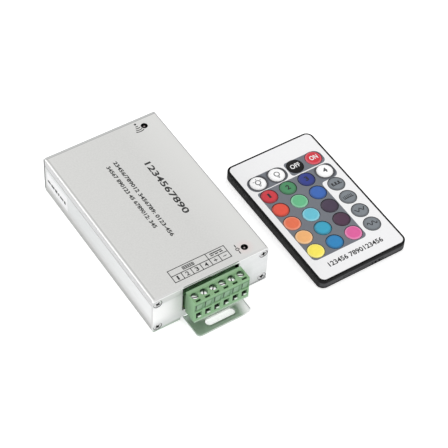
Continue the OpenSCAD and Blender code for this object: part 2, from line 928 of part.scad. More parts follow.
// A key with the flange that keeps it under the deck and a rounded upper edge
module remote_key(row, col) {
    r = key_d / 2;
    at_remote() translate([key_x(col), key_y(row), key_bottom]) rotate_extrude() {
        square([r + key_flange_out, key_flange_t]);
        square([r, key_top - key_bottom - key_edge_r]);
        square([r - key_edge_r, key_top - key_bottom]);
        translate([r - key_edge_r, key_top - key_bottom - key_edge_r])
            intersection() {
                circle(key_edge_r);
                square(key_edge_r);
            }
    }
}

module terminal_screw_1() { terminal_screw(1); }
module terminal_screw_2() { terminal_screw(2); }
module terminal_screw_3() { terminal_screw(3); }
module terminal_screw_4() { terminal_screw(4); }
module terminal_screw_5() { terminal_screw(5); }
module terminal_screw_6() { terminal_screw(6); }
module wire_clamp_1() { wire_clamp(1); }
module wire_clamp_2() { wire_clamp(2); }
module wire_clamp_3() { wire_clamp(3); }
module wire_clamp_4() { wire_clamp(4); }
module wire_clamp_5() { wire_clamp(5); }
module wire_clamp_6() { wire_clamp(6); }
module key_brighter() { color("white") remote_key(5, 0); }
module key_dimmer() { color("white") remote_key(5, 1); }
module key_off() { color([0.1, 0.1, 0.1]) remote_key(5, 2); }
module key_on() { color("crimson") remote_key(5, 3); }
module key_red() { color("crimson") remote_key(4, 0); }
module key_green() { color("seagreen") remote_key(4, 1); }
module key_navy() { color("navy") remote_key(4, 2); }
module key_white() { color("white") remote_key(4, 3); }
module key_orange_red() { color("tomato") remote_key(3, 0); }
module key_light_green() { color("mediumaquamarine") remote_key(3, 1); }
module key_blue() { color("royalblue") remote_key(3, 2); }
module key_mode_1() { color("slategray") remote_key(3, 3); }
module key_orange() { color("coral") remote_key(2, 0); }
module key_sky() { color("skyblue") remote_key(2, 1); }
module key_dark_purple() { color("indigo") remote_key(2, 2); }
module key_mode_2() { color("slategray") remote_key(2, 3); }
module key_peach() { color("sandybrown") remote_key(1, 0); }
module key_teal() { color("lightseagreen") remote_key(1, 1); }
module key_plum() { color("purple") remote_key(1, 2); }
module key_mode_3() { color("slategray") remote_key(1, 3); }
module key_yellow() { color("gold") remote_key(0, 0); }
module key_azure() { color("steelblue") remote_key(0, 1); }
module key_pink() { color("hotpink") remote_key(0, 2); }
module key_mode_4() { color("slategray") remote_key(0, 3); }

case_sleeve();
front_end_plate();
rear_end_plate();
end_plate_screws();
circuit_board();
terminal_header();
header_pins();
indicator_leds();
mosfets();
capacitors();
control_chips();
voltage_regulator();
ir_receiver();
plug_body();
plug_contacts();
terminal_screw_1();
terminal_screw_2();
terminal_screw_3();
terminal_screw_4();
terminal_screw_5();
terminal_screw_6();
wire_clamp_1();
wire_clamp_2();
wire_clamp_3();
wire_clamp_4();
wire_clamp_5();
wire_clamp_6();
remote_base();
remote_top_case();
remote_overlay();
remote_board();
remote_chip();
ir_emitter();
battery_tray();
coin_cell();
battery_contacts();
key_brighter();
key_dimmer();
key_off();
key_on();
key_red();
key_green();
key_navy();
key_white();
key_orange_red();
key_light_green();
key_blue();
key_mode_1();
key_orange();
key_sky();
key_dark_purple();
key_mode_2();
key_peach();
key_teal();
key_plum();
key_mode_3();
key_yellow();
key_azure();
key_pink();
key_mode_4();
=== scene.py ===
# %% [markdown]
# # A led strip controller and its card remote
#
# The controller is a flat aluminium case with a slotted foot at each end and a green
# screw terminal that pulls out. Its remote is a thin card with 24 soft round keys.
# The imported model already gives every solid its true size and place. This lesson puts
# the surfaces on them: the metal's grain, the moulded plastics, the printing, and the
# small pieces whose form shows only from close up.

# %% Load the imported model
import math
from collections import namedtuple

import bpy
from mathutils import Matrix, Vector


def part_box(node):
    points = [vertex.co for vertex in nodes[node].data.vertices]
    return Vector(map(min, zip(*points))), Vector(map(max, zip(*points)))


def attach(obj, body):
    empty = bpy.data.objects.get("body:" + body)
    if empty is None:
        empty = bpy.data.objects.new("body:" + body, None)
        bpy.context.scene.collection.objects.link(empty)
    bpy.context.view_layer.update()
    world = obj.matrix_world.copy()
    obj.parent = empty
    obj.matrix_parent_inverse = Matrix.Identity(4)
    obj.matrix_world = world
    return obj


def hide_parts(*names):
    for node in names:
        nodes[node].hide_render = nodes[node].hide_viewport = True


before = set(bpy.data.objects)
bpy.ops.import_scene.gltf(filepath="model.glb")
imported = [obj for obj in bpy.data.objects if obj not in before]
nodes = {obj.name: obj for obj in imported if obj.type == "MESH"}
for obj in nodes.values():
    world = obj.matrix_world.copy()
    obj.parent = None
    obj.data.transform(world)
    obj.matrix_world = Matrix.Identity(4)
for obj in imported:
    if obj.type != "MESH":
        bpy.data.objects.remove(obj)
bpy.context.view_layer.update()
MM = 0.001
Corner = namedtuple("Corner", "x y z")


def box_mm(node):
    """The low and the high corner of a solid, in mm and in full precision."""
    return [Corner(*(c / MM for c in corner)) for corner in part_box(node)]


# %% [markdown]
# ## Camera
# The camera was matched to the photograph by its straight edges. A long lens far away
# keeps the case's edges nearly parallel. The roll is small, but without it the front
# edge of the case would lean.

# %% Place the camera
PHOTO_SIDE = 448
PHOTO_FOCAL = 1674.05
SENSOR = 36.0
LOOK_AT = Vector((33.1, -12.9, 0)) * MM
DISTANCE = 831.2 * MM
azimuth, elevation, roll = (math.radians(a) for a in (-35.525, 49.735, 3.576))

back = Vector((math.sin(azimuth) * math.cos(elevation),
               -math.cos(azimuth) * math.cos(elevation), math.sin(elevation)))
level = Vector((math.cos(azimuth), math.sin(azimuth), 0))
upright = back.cross(level)
right = level * math.cos(roll) + upright * math.sin(roll)
up = upright * math.cos(roll) - level * math.sin(roll)
bpy.ops.object.camera_add(location=LOOK_AT + back * DISTANCE,
                          rotation=Matrix((right, up, back)).transposed().to_euler())
camera = bpy.context.object
camera.data.sensor_width = SENSOR
camera.data.lens = PHOTO_FOCAL / PHOTO_SIDE * SENSOR
camera.data.clip_start = 10 * MM
bpy.context.scene.camera = camera
bpy.context.scene.view_settings.view_transform = "Standard"
print("lens", round(camera.data.lens, 1), "mm")

# %% [markdown]
# ## Nodes
# Three small helpers build every shader below. One fills an input, one adds a node with
# its inputs filled, and one does sums on sockets. A socket knows the node tree that it
# belongs to, so the sums need no more than their values.

# %% Helpers for shader nodes
def put(socket, value):
    """Fills an input: another socket is linked to it, anything else becomes its value."""
    if isinstance(value, bpy.types.NodeSocket):
        socket.id_data.links.new(value, socket)
    else:
        socket.default_value = value


def add(tree, kind, **inputs):
    """A new shader node. Its inputs are called as in Blender, with _ for a space."""
    node = tree.nodes.new("ShaderNode" + kind)
    for name, value in inputs.items():
        put(node.inputs[name.replace("_", " ")], value)
    return node


def calc(operation, *values):
    """A Math node on sockets and plain numbers, with at least one socket."""
    tree = next(value.id_data for value in values if isinstance(value, bpy.types.NodeSocket))
    node = add(tree, "Math")
    node.operation = operation
    for socket, value in zip(node.inputs, values):
        put(socket, value)
    return node.outputs[0]


print("node helpers ready")

# %% [markdown]
# ## Studio
# A white table under a big soft sky. The sky gives most of the light, so that no side
# of the case goes dark. Large lamps behind and to the left make the round edges and the
# keys gleam, and one in front lifts the terminal's face. The camera sees a white sky.
# Metal sees it fade to grey towards the back right, as if a flag stood there, because
# metal in an even white tent has no edges at all.

# %% Sky
SKY_LIGHT = 0.84
FLAG_TOWARDS = Vector((0.9, 0.43, 0.05)).normalized()
FLAG_FROM = 0.45
FLAG_TONE = 0.5
sky = bpy.data.worlds.new("studio_sky")
bpy.context.scene.world = sky
sky.use_nodes = True
tree = sky.node_tree
light = tree.nodes["Background"]
put(light.inputs["Color"], (1, 1, 1, 1))
put(light.inputs["Strength"], SKY_LIGHT)

facing = add(tree, "VectorMath")
facing.operation = "DOT_PRODUCT"
put(facing.inputs[0], add(tree, "TexCoord").outputs["Generated"])
put(facing.inputs[1], FLAG_TOWARDS)
fade = add(tree, "MapRange", Value=facing.outputs["Value"], From_Min=FLAG_FROM, From_Max=1.0,
           To_Min=1.0, To_Max=FLAG_TONE)
fade.interpolation_type = "SMOOTHSTEP"
path = add(tree, "LightPath").outputs
white = add(tree, "Background", Color=(1, 1, 1, 1),
            Strength=calc("MAXIMUM", fade.outputs[0], path["Is Camera Ray"]))
seen = calc("MAXIMUM", path["Is Camera Ray"], path["Is Glossy Ray"])
choose = add(tree, "MixShader", Fac=calc("MAXIMUM", seen, path["Is Transmission Ray"]))
put(choose.inputs[1], light.outputs[0])
put(choose.inputs[2], white.outputs[0])
put(tree.nodes["World Output"].inputs["Surface"], choose.outputs[0])
print("sky ready")

# %% Table and lamps
TABLE_SIDE = 8
TABLE_TONE = 0.82
TABLE_LIFT = 0.5
MIRROR_LIFT = 0.12
bpy.ops.mesh.primitive_plane_add(size=TABLE_SIDE, location=(0, 0, 0))
table_top = bpy.context.object
table_top.name = "table_top"
paper = bpy.data.materials.new("white_paper")
paper.use_nodes = True
tree = paper.node_tree
tree.nodes.remove(tree.nodes["Principled BSDF"])
path = add(tree, "LightPath").outputs
lift = calc("ADD", calc("MULTIPLY", path["Is Camera Ray"], TABLE_LIFT),
            calc("MULTIPLY", path["Is Glossy Ray"], MIRROR_LIFT))
summed = add(tree, "AddShader")
put(summed.inputs[0], add(tree, "BsdfDiffuse", Color=(TABLE_TONE,) * 3 + (1,)).outputs[0])
put(summed.inputs[1], add(tree, "Emission", Strength=lift).outputs[0])
put(tree.nodes["Material Output"].inputs["Surface"], summed.outputs[0])
table_top.data.materials.append(paper)


def softbox(name, place, side, power):
    """A square lamp that looks at the middle of the scene."""
    turn = (Vector(place) - LOOK_AT).to_track_quat("Z", "Y").to_euler()
    bpy.ops.object.light_add(type="AREA", location=place, rotation=turn)
    lamp = bpy.context.object
    lamp.name = name
    lamp.data.size = side
    lamp.data.energy = power


softbox("softbox_left", (-1.05, 0.45, 0.45), 0.6, 3.4)
softbox("softbox_behind", (-0.35, 1.15, 0.75), 0.7, 3.0)
softbox("softbox_front", (0.85, -1.05, 0.32), 0.8, 6.4)
print("table and three softboxes")

# %% [markdown]
# ## Helpers for modelling
# Blender's operators act on whatever is selected, so each step first clears the
# selection and then picks what it works on. These helpers keep that habit in one spot.

# %% Selecting, settling, turning and carving
WELD = 0.002 * MM


def only(obj):
    """Leaves this object alone selected and active."""
    if bpy.context.object and bpy.context.object.mode != "OBJECT":
        bpy.ops.object.mode_set(mode="OBJECT")
    bpy.ops.object.select_all(action="DESELECT")
    obj.select_set(True)
    bpy.context.view_layer.objects.active = obj


def settle(obj, name, smooth=None):
    """Puts the place into the mesh, names the piece and smooths its flat angles."""
    only(obj)
    bpy.ops.object.transform_apply(location=True, rotation=True, scale=True)
    if smooth:
        bpy.ops.object.shade_smooth_by_angle(angle=math.radians(smooth))
    obj.name = name
    obj.data.name = name
    return obj


def joined(parts):
    """Joins objects into the first one of them."""
    only(parts[0])
    for part in parts:
        part.select_set(True)
    if len(parts) > 1:
        bpy.ops.object.join()
    return bpy.context.object


def weld(obj):
    """Goes into edit mode with everything selected and merges the points that touch."""
    only(obj)
    bpy.ops.object.mode_set(mode="EDIT")
    bpy.ops.mesh.select_all(action="SELECT")
    bpy.ops.mesh.remove_doubles(threshold=WELD)


def twin(obj, name, move=None):
    """A copy with its own mesh, moved by a matrix."""
    copy = obj.copy()
    copy.data = obj.data.copy()
    bpy.context.scene.collection.objects.link(copy)
    if move is not None:
        copy.data.transform(move)
    copy.name = name
    copy.data.name = name
    return copy


def apply_all(obj):
    """Applies every modifier of the object, in order."""
    only(obj)
    for name in [m.name for m in obj.modifiers]:
        bpy.ops.object.modifier_apply(modifier=name)


def thicken(obj, thickness):
    """Gives a flat drawing its thickness, in mm, on its own upper side."""
    solid = obj.modifiers.new("thickness", "SOLIDIFY")
    solid.thickness = thickness * MM
    solid.offset = 1.0
    apply_all(obj)


def carve(obj, cutter):
    """Cuts one closed shape out of another and throws the cutter away."""
    cut = obj.modifiers.new("carve", "BOOLEAN")
    cut.operation = "DIFFERENCE"
    cut.solver = "EXACT"
    cut.object = cutter
    apply_all(obj)
    bpy.data.objects.remove(cutter)


def lathe(name, outline, steps=48):
    """Turns (radius, height) points, in mm, about the upright axis: one vertex is drawn
    along the outline by extruding, then spun round."""
    bpy.ops.mesh.primitive_plane_add(size=MM, location=(0, 0, 0))
    obj = bpy.context.object
    only(obj)
    bpy.ops.object.mode_set(mode="EDIT")
    bpy.ops.mesh.select_mode(type="VERT")
    bpy.ops.mesh.select_all(action="SELECT")
    bpy.ops.mesh.merge(type="CENTER")
    bpy.ops.transform.translate(value=(outline[0][0] * MM, 0, outline[0][1] * MM))
    for (r0, z0), (r1, z1) in zip(outline, outline[1:]):
        bpy.ops.mesh.extrude_region_move(
            TRANSFORM_OT_translate={"value": ((r1 - r0) * MM, 0, (z1 - z0) * MM)})
    bpy.ops.mesh.select_all(action="SELECT")
    bpy.ops.mesh.spin(steps=steps, angle=2 * math.pi, center=(0, 0, 0), axis=(0, 0, 1))
    bpy.ops.mesh.select_all(action="SELECT")
    bpy.ops.mesh.remove_doubles(threshold=WELD / 2)
    bpy.ops.mesh.normals_make_consistent(inside=False)
    bpy.ops.object.mode_set(mode="OBJECT")
    return settle(obj, name, smooth=35)


def block(size, centre, turn=0.0):
    """A box in mm, turned about the upright axis, to carve or to build with."""
    bpy.ops.mesh.primitive_cube_add(size=MM, location=Vector(centre) * MM, rotation=(0, 0, turn))
    obj = bpy.context.object
    obj.scale = size
    return settle(obj, "block")


print("modelling helpers ready")

# %% [markdown]
# ## Finishes
# A finish is a colour that is never quite even, a gloss that is never quite even, and a
# fine relief. All three come from noise in the object's own coordinates, in real sizes,
# so that they stay on the surface when a piece moves. Other tones are then laid over it
# through masks. A mask is a number from 0 to 1 that follows the place or the normal.

# %% How a finish is built
def linear(colour):
    """A colour as the screen shows it, 0 to 255, made linear for the shader."""
    return tuple(((c / 255 + 0.055) / 1.055) ** 2.4 for c in colour) + (1,)


def noise_at(mat, size, stretch=(1, 1, 1), detail=2.0):
    """Noise whose features are about `size` mm, longer along the axes with a small stretch."""
    tree = mat.node_tree
    place = add(tree, "TexCoord").outputs["Object"]
    scaled = add(tree, "Mapping", Vector=place, Scale=Vector(stretch) / (size * MM)).outputs[0]
    return add(tree, "TexNoise", Vector=scaled, Scale=1.0, Detail=detail).outputs["Fac"]


def step_up(value, low, high, start=0.0, stop=1.0):
    """start below low, stop above high and a straight line between them. With a low above
    high it is stop below high and start above low."""
    return add(value.id_data, "MapRange", Value=value, From_Min=low, From_Max=high,
               To_Min=start, To_Max=stop).outputs[0]


def spread(noise, start, stop):
    """Maps noise from its usual reach to start...stop."""
    return step_up(noise, 0.3, 0.7, start, stop)


def blend(share, first, second):
    """A colour between two others."""
    mix = add(share.id_data, "Mix")
    mix.data_type = "RGBA"
    for index, value in ((0, share), (6, first), (7, second)):
        put(mix.inputs[index], value)
    return mix.outputs[2]


def finish(name, colour, rough, metal=0.0, uneven=0.04, patch=3.0, grain=0.25, relief=0.004,
           stretch=(1, 1, 1), **sockets):
    """A material: colour and roughness that vary a little in patches, over a fine relief."""
    mat = bpy.data.materials.new(name)
    mat.use_nodes = True
    inputs = mat.node_tree.nodes["Principled BSDF"].inputs
    put(inputs["Metallic"], metal)
    for socket, number in sockets.items():
        put(inputs[socket.replace("_", " ")], number)
    patches = noise_at(mat, patch, stretch)
    dark, bright = ([min(1, c * change) for c in linear(colour)[:3]] + [1]
                    for change in (1 - uneven, 1 + uneven))
    put(inputs["Base Color"], blend(spread(patches, 0, 1), dark, bright))
    put(inputs["Roughness"], spread(patches, rough * (1 - 2 * uneven), rough * (1 + 2 * uneven)))
    bump = add(mat.node_tree, "Bump", Strength=1.0, Distance=relief * MM,
               Height=noise_at(mat, grain, stretch, detail=4.0))
    put(inputs["Normal"], bump.outputs[0])
    return mat


def own_normal(mat):
    """The X, Y and Z of the object's own normal."""
    normal = add(mat.node_tree, "TexCoord").outputs["Normal"]
    return add(mat.node_tree, "SeparateXYZ", Vector=normal).outputs


def own_place(mat):
    """The X, Y and Z of a place in the object, in mm."""
    place = add(mat.node_tree, "TexCoord").outputs["Object"]
    in_mm = add(mat.node_tree, "Mapping", Vector=place, Scale=Vector((1, 1, 1)) / MM).outputs[0]
    return add(mat.node_tree, "SeparateXYZ", Vector=in_mm).outputs


def size_of(value):
    """The value without its sign."""
    return calc("ABSOLUTE", value)


def both(*masks):
    """The masks multiplied, so that it is 1 only where all of them are."""
    result = masks[0]
    for mask in masks[1:]:
        result = calc("MULTIPLY", result, mask)
    return result


def between(value, low, high, soft):
    """1 from low to high, with soft edges outside them."""
    return both(step_up(value, low - soft, low), step_up(value, high + soft, high))


def far_from(x, y, centre):
    """How far a place is, seen from above, from a point."""
    across = calc("SUBTRACT", x, centre[0])
    along = calc("SUBTRACT", y, centre[1])
    return calc("SQRT", calc("ADD", both(across, across), both(along, along)))


def overlay(mat, masks, colour, rough, metal=None):
    """Lays a second colour and roughness over a finish, and a metalness if one is given.
    It takes a mask or a tuple of masks, in which a number makes it weaker."""
    mask = both(*masks) if isinstance(masks, tuple) else masks
    inputs = mat.node_tree.nodes["Principled BSDF"].inputs
    before = inputs["Base Color"].links[0].from_socket
    put(inputs["Base Color"], blend(mask, before, linear(colour)))
    for name, value in (("Roughness", rough), ("Metallic", metal)):
        if value is not None:
            socket = inputs[name]
            before = socket.links[0].from_socket if socket.links else socket.default_value
            kept = calc("MULTIPLY", calc("SUBTRACT", 1.0, mask), before)
            put(socket, calc("ADD", calc("MULTIPLY", mask, value), kept))


def dress(mat, *names):
    """Gives carried-over solids their finish."""
    for name in names:
        nodes[name].data.materials.clear()
        nodes[name].data.materials.append(mat)


def piece(obj, mat, body, slot, *replaced):
    """Gives a new piece its finish and its body, and hides the solids that it stands for. The slot is not
    used.
    """
    obj.data.materials.clear()
    obj.data.materials.append(mat)
    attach(obj, body)
    if replaced:
        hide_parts(*replaced)
    return obj


print("finish helpers ready")

# %% [markdown]
# ## The aluminium case
# The sleeve is extruded, blasted and anodised, which leaves a silvery matt with a fine
# grain. Its left round edge gets a painted highlight, its other edges and its rear end
# painted shade, and its sides painted light and shade, darker towards the bottom. The end
# plates are sheet, a little smoother, with a foot bent out of each. Their sheared edges
# are duller than their faces and also carry painted light and shade, and their faces and
# feet get more of it, with painted green reflections of the plug. Every one of these
# differences follows the surface's own normal or place, so one material holds them all.

# %% Sleeve metal
SIDE_LINE_Z = 19.2
SLEEVE_END = 50.8
LED_PLACE = (22.2, 45.9)
LED_HOLE_R = 2.1
case_metal = finish("satin_extrusion", (217, 217, 215), 0.44, metal=0.75, uneven=0.036, patch=0.8,
                    grain=0.3, relief=0.012)
nx, ny, nz = own_normal(case_metal)
x, y, z = own_place(case_metal)
facing_up = step_up(nz, 0.93, 0.98)
side_on = step_up(size_of(nx), 0.8, 0.95)
left_half = step_up(x, 0.0, -1.0)
# Painted light: the top is lighter towards the right.
overlay(case_metal, (facing_up, step_up(x, 8.0, 27.0)), (226, 226, 224), 0.44, 0.75)

# Painted light and shade on the sides: a darker band above the line, a lighter face below it that gets
# lighter still towards the front, and darker towards the bottom.
over_line = both(side_on, step_up(z, SIDE_LINE_Z, SIDE_LINE_Z + 0.4))
overlay(case_metal, over_line, (220, 220, 221), 0.4)
under_line = both(side_on, step_up(z, SIDE_LINE_Z, SIDE_LINE_Z - 0.4))
overlay(case_metal, under_line, (227, 229, 229), 0.42, 0.6)
overlay(case_metal, (under_line, step_up(y, 10.0, -50.0)), (242, 243, 243), 0.42, 0.6)
overlay(case_metal, (side_on, step_up(z, 10.0, 4.0)), (212, 212, 211), 0.45)
foot_shade = both(side_on, step_up(z, 5.6, 1.8), step_up(z, -1.0, 2.0))
overlay(case_metal, foot_shade, (181, 182, 181), 0.5)

# Painted shade in a line on the top beside the left round edge, a painted highlight on that edge, and
# painted shade on its outer part.
beside_edge_shade = between(calc("MULTIPLY", x, -1.0), 30.3, 30.8, 0.2)
overlay(case_metal, (facing_up, beside_edge_shade), (196, 196, 195), 0.45)
edge_highlight = both(step_up(nz, 0.76, 0.84), step_up(nz, 0.99, 0.965), left_half)
overlay(case_metal, edge_highlight, (246, 246, 246), 0.34, 0.3)
outer_edge_shade = both(step_up(nz, 0.1, 0.25), step_up(nz, 0.82, 0.68), left_half)
overlay(case_metal, outer_edge_shade, (196, 196, 195), 0.55)
# Painted shade on the right round edge and on the sleeve's rear end.
right_edge_shade = both(step_up(nx, 0.2, 0.3), step_up(nz, 0.3, 0.4))
overlay(case_metal, right_edge_shade, (178, 178, 177), 0.5)
rear_end = both(step_up(y, SLEEVE_END - 0.35, SLEEVE_END - 0.15), calc("MAXIMUM", side_on, facing_up))
overlay(case_metal, rear_end, (166, 166, 166), 0.5)

# Painted pink light from the led on the top round the front hole.
from_led = far_from(x, size_of(y), LED_PLACE)
front_led_glow = both(facing_up, step_up(y, 0.0, -1.0), step_up(from_led, 5.0, 2.5))
overlay(case_metal, front_led_glow, (227, 219, 217), 0.44)
# Painted shade on the walls of the led holes.
hole_wall_shade = both(step_up(from_led, LED_HOLE_R, LED_HOLE_R - 0.1), step_up(size_of(nz), 0.6, 0.4))
overlay(case_metal, hole_wall_shade, (12, 12, 12), 0.6, 0.0)
dress(case_metal, "case_sleeve")
print("sleeve dressed")

# %% Plate metal
FOOT_BELOW = (1.5, 1.3)
PLATE_ABOVE = (2.0, 2.4)


def sheet_metal(name, top_tone, side_tone):
    """Smooth sheet whose sheared edges are duller, in the tones given for their top and sides, which also
    paint their light and shade. The foot is duller still at its edge, partly as painted shade, and the
    faces and foot carry more painted light and shade.
    """
    mat = finish(name, (246, 247, 248), 0.36, metal=0.8, uneven=0.02, patch=2.5, grain=0.3,
                 stretch=(0.15, 1, 1))
    nx, ny, nz = own_normal(mat)
    x, y, z = own_place(mat)
    facing, out = size_of(ny), size_of(y)
    # Painted shade: the faces get darker towards the bottom.
    overlay(mat, (step_up(facing, 0.9, 0.95), step_up(z, 9.0, 1.5)), (226, 228, 227), 0.4)
    plate = step_up(z, *PLATE_ABOVE)
    # The sheared edges: duller metal, in tones that paint light on the front plate and shade on the rear
    # one.
    overlay(mat, (step_up(nz, 0.6, 0.8), plate), top_tone, 0.5)
    overlay(mat, (step_up(size_of(nx), 0.6, 0.8), plate), side_tone, 0.5)
    # The foot's sheared edge: duller metal, darkened further as painted shade.
    foot_edge = both(step_up(size_of(nz), 0.5, 0.3), step_up(z, 1.3, 1.1))
    overlay(mat, foot_edge, (150, 154, 151), 0.55)
    # The foot: a painted green reflection of the plug, a painted highlight along its inner part, painted
    # shade round the slot and on the left, painted white light towards the right and a darker band at its
    # right edge.
    foot = step_up(z, *FOOT_BELOW)
    overlay(mat, foot, (216, 222, 217), 0.3)
    inner = both(foot, step_up(out, 59.0, 58.6), step_up(x, -10.5, -8.5))
    overlay(mat, inner, (244, 248, 244), 0.5, 0.35)
    foot_slot_shade = both(foot, between(out, 62.9, 63.7, 0.2), step_up(size_of(x), 9.0, 6.5))
    overlay(mat, (foot_slot_shade, 0.7), (140, 152, 143), 0.4)
    overlay(mat, (foot, step_up(x, -5.0, -11.0)), (196, 208, 198), 0.35)
    overlay(mat, (foot, step_up(x, 8.9, 12.6)), (255, 255, 255), 0.45, 0.15)
    overlay(mat, (foot, step_up(x, 14.3, 14.7)), (168, 170, 170), 0.5)
    # Painted shade in the countersinks.
    countersink_shade = both(step_up(facing, 0.9, 0.8), step_up(facing, 0.4, 0.5))
    overlay(mat, (countersink_shade, step_up(size_of(x), 25.0, 26.0)), (56, 56, 56), 0.5)
    return mat


# The front plate's edges get lighter tones than the rear plate's: painted light.
front_sheet = sheet_metal("front_sheet", (220, 220, 219), (222, 222, 222))
nx, ny, nz = own_normal(front_sheet)
x, y, z = own_place(front_sheet)
outside = both(step_up(ny, -0.9, -0.95), step_up(z, *PLATE_ABOVE))
outside_left = both(outside, step_up(x, 0.0, -1.0))
# Painted light and shade on the face left of the plug: lighter towards the far left, a painted white
# band, and a darker band under the top edge.
overlay(front_sheet, (outside_left, step_up(x, -29.0, -21.0)), (236, 237, 237), 0.5, 0.25)
overlay(front_sheet, (outside_left, between(z, 9.0, 15.5, 5.0)), (255, 255, 255), 0.5, 0.2)
overlay(front_sheet, (outside_left, between(z, 19.5, 22.4, 1.0)), (222, 223, 222), 0.45)
plug_shade = both(outside, step_up(x, 24.0, 17.0), step_up(x, 0.0, 1.0), step_up(z, 18.0, 8.0))
overlay(front_sheet, (plug_shade, 0.6), (110, 140, 112), 0.5)
plug_low, plug_high = box_mm("plug_body")
# Painted shade on the face just left of the plug's opening.
near_gap_shade = both(outside_left, step_up(x, plug_low.x - 1.0, plug_low.x - 0.5),
                step_up(z, plug_low.z - 0.8, plug_low.z))
overlay(front_sheet, near_gap_shade, (40, 46, 40), 0.6, 0.2)
# Painted shade on the plate's top edge above the plug.
above_plug_shade = both(step_up(nz, 0.6, 0.8), step_up(y, -51.5, -51.7),
                  between(x, plug_low.x, plug_high.x, 0.3), step_up(z, 22.0, 22.4))
overlay(front_sheet, above_plug_shade, (104, 116, 104), 0.6, 0.3)
# Painted highlight along the front face's top arris.
overlay(front_sheet, (outside, step_up(z, 22.7, 22.9)), (255, 255, 255), 0.4, 0.3)
dress(front_sheet, "front_end_plate")
# The rear plate's edges get darker tones than the front's: painted shade.
dress(sheet_metal("rear_sheet", (198, 199, 198), (140, 141, 141)), "rear_end_plate")
print("plates dressed")

# %% [markdown]
# ## Metals and plastics
# The other solids keep their form and get a finish each. A board and the remote's sheet
# show another tone where they were cut. The remote's band is lighter on its upright
# sides and painted lighter still on its front, where the light falls, and the nail notch
# of its battery tray is painted dark as shade.

# %% Metals, plastics and boards
LEAD_TONE = (206, 205, 198)
GREEN_MOULDING = {"uneven": 0.05, "patch": 1.8, "grain": 0.22, "relief": 0.005}
steel = finish("nickel_plate", (232, 232, 233), 0.22, metal=1.0, patch=1.2, grain=0.2)
tin = finish("tin_plate", LEAD_TONE, 0.38, metal=1.0, uneven=0.05, patch=0.8, grain=0.12)
brass = finish("brass", (205, 168, 96), 0.34, metal=1.0, uneven=0.06, patch=1.5, grain=0.15)
dull_brass = finish("dull_brass", (122, 98, 56), 0.45, metal=1.0, uneven=0.08, patch=1.0, grain=0.15)
zinc = finish("zinc_plate", (150, 151, 152), 0.4, metal=1.0, uneven=0.06, patch=0.9, grain=0.15)
epoxy = finish("moulded_epoxy", (38, 38, 40), 0.55, uneven=0.08, patch=1.0, grain=0.08)
sleeve_film = finish("capacitor_film", (34, 40, 88), 0.25, uneven=0.06, patch=4.0, grain=0.6)
dark_filter = finish("dark_filter_resin", (28, 18, 26), 0.12, uneven=0.05, patch=2.0, grain=0.8,
                     relief=0.001, Coat_Weight=0.3)
clear_resin = finish("clear_resin", (220, 226, 236), 0.08, uneven=0.02, patch=1.5, grain=0.9,
                     relief=0.001, Transmission_Weight=0.6, IOR=1.53)
terminal_plastic = finish("terminal_plastic", (122, 172, 122), 0.46, **GREEN_MOULDING)
sheet_white = finish("printed_sheet", (240, 240, 241), 0.34, uneven=0.008, patch=1.5, grain=0.5,
                     relief=0.002)
solder_mask = finish("solder_mask", (24, 92, 48), 0.28, uneven=0.16, patch=1.6, grain=1.1,
                     relief=0.03, stretch=(1, 0.2, 1))
for mat, cut_tone in ((sheet_white, (52, 54, 58)), (solder_mask, (170, 162, 98))):
    overlay(mat, step_up(size_of(own_normal(mat)[2]), 0.6, 0.4), cut_tone, 0.6)

BAND_Z = (2.1, 4.3)
NOTCH_FROM_RIGHT = (8.1, 0.9)
NOTCH_INWARD = (0.35, 0.9)
remote_plastic = finish("remote_plastic", (10, 10, 11), 0.5, uneven=0.12, patch=1.6, grain=0.22,
                        relief=0.02, Specular_IOR_Level=0.14)
nx, ny, nz = own_normal(remote_plastic)
x, y, z = own_place(remote_plastic)
band = both(between(z, *BAND_Z, 0.35), step_up(size_of(nz), 0.8, 0.65),
            spread(noise_at(remote_plastic, 1.1, (1, 1, 2.5)), 0.6, 1.0))
overlay(remote_plastic, band, (36, 36, 37), 0.5)
# Painted light: the band is lighter on its front, where the light falls.
overlay(remote_plastic, (band, step_up(ny, -0.3, -0.6)), (80, 81, 83), 0.5)
tray_low, tray_high = box_mm("battery_tray")
# Painted shade: the nail notch is darker than the plastic.
notch = both(between(x, *(tray_high.x - far for far in NOTCH_FROM_RIGHT), 0.05),
             between(y, *(tray_low.y + far for far in NOTCH_INWARD), 0.1))
overlay(remote_plastic, notch, (4, 4, 5), 0.7)

dress(steel, "coin_cell")
dress(tin, "header_pins")
dress(brass, "battery_contacts")
dress(dull_brass, "plug_contacts")
dress(zinc, *[f"wire_clamp_{i}" for i in range(1, 7)])
dress(epoxy, "remote_chip")
dress(terminal_plastic, "terminal_header")
dress(remote_plastic, "remote_base", "remote_top_case", "battery_tray")
dress(sheet_white, "remote_overlay")
dress(solder_mask, "circuit_board", "remote_board")
print("solids dressed")

# %% [markdown]
# ## Parts on the boards
# A part on a board is a dark body with bare tinned leads. Each is one solid, so its leads
# are told apart by their place: how far they stand out of the body on either side. The
# capacitors have a bare aluminium top and a pale stripe down the side of their film.

# %% Bodies and their leads
SHARP = 0.02
FET_LEAD, FET_TAB = 4.0, 6.4
REGULATOR_LEAD = 1.5
CHIP_HALF = 2.0
EYE_UP = 2.2
EMITTER_LEAD = 3.0


def tinned(mat, node, mask_of):
    """Bares the leads of a solid: mask_of gets the place and the box's corners, in mm."""
    overlay(mat, mask_of(own_place(mat), *box_mm(node)), LEAD_TONE, 0.36, 1.0)
    dress(mat, node)


def below(value, limit):
    """1 below a limit, with a sharp edge."""
    return step_up(value, limit + SHARP, limit)


def beyond(value, limit):
    """1 above a limit, with a sharp edge."""
    return step_up(value, limit, limit + SHARP)


def both_ends(at_low, at_high):
    """Leads at the near and far ends of a body, each so many mm long."""
    return lambda place, low, high: calc(
        "MAXIMUM", below(place[1], low.y + at_low), beyond(place[1], high.y - at_high))


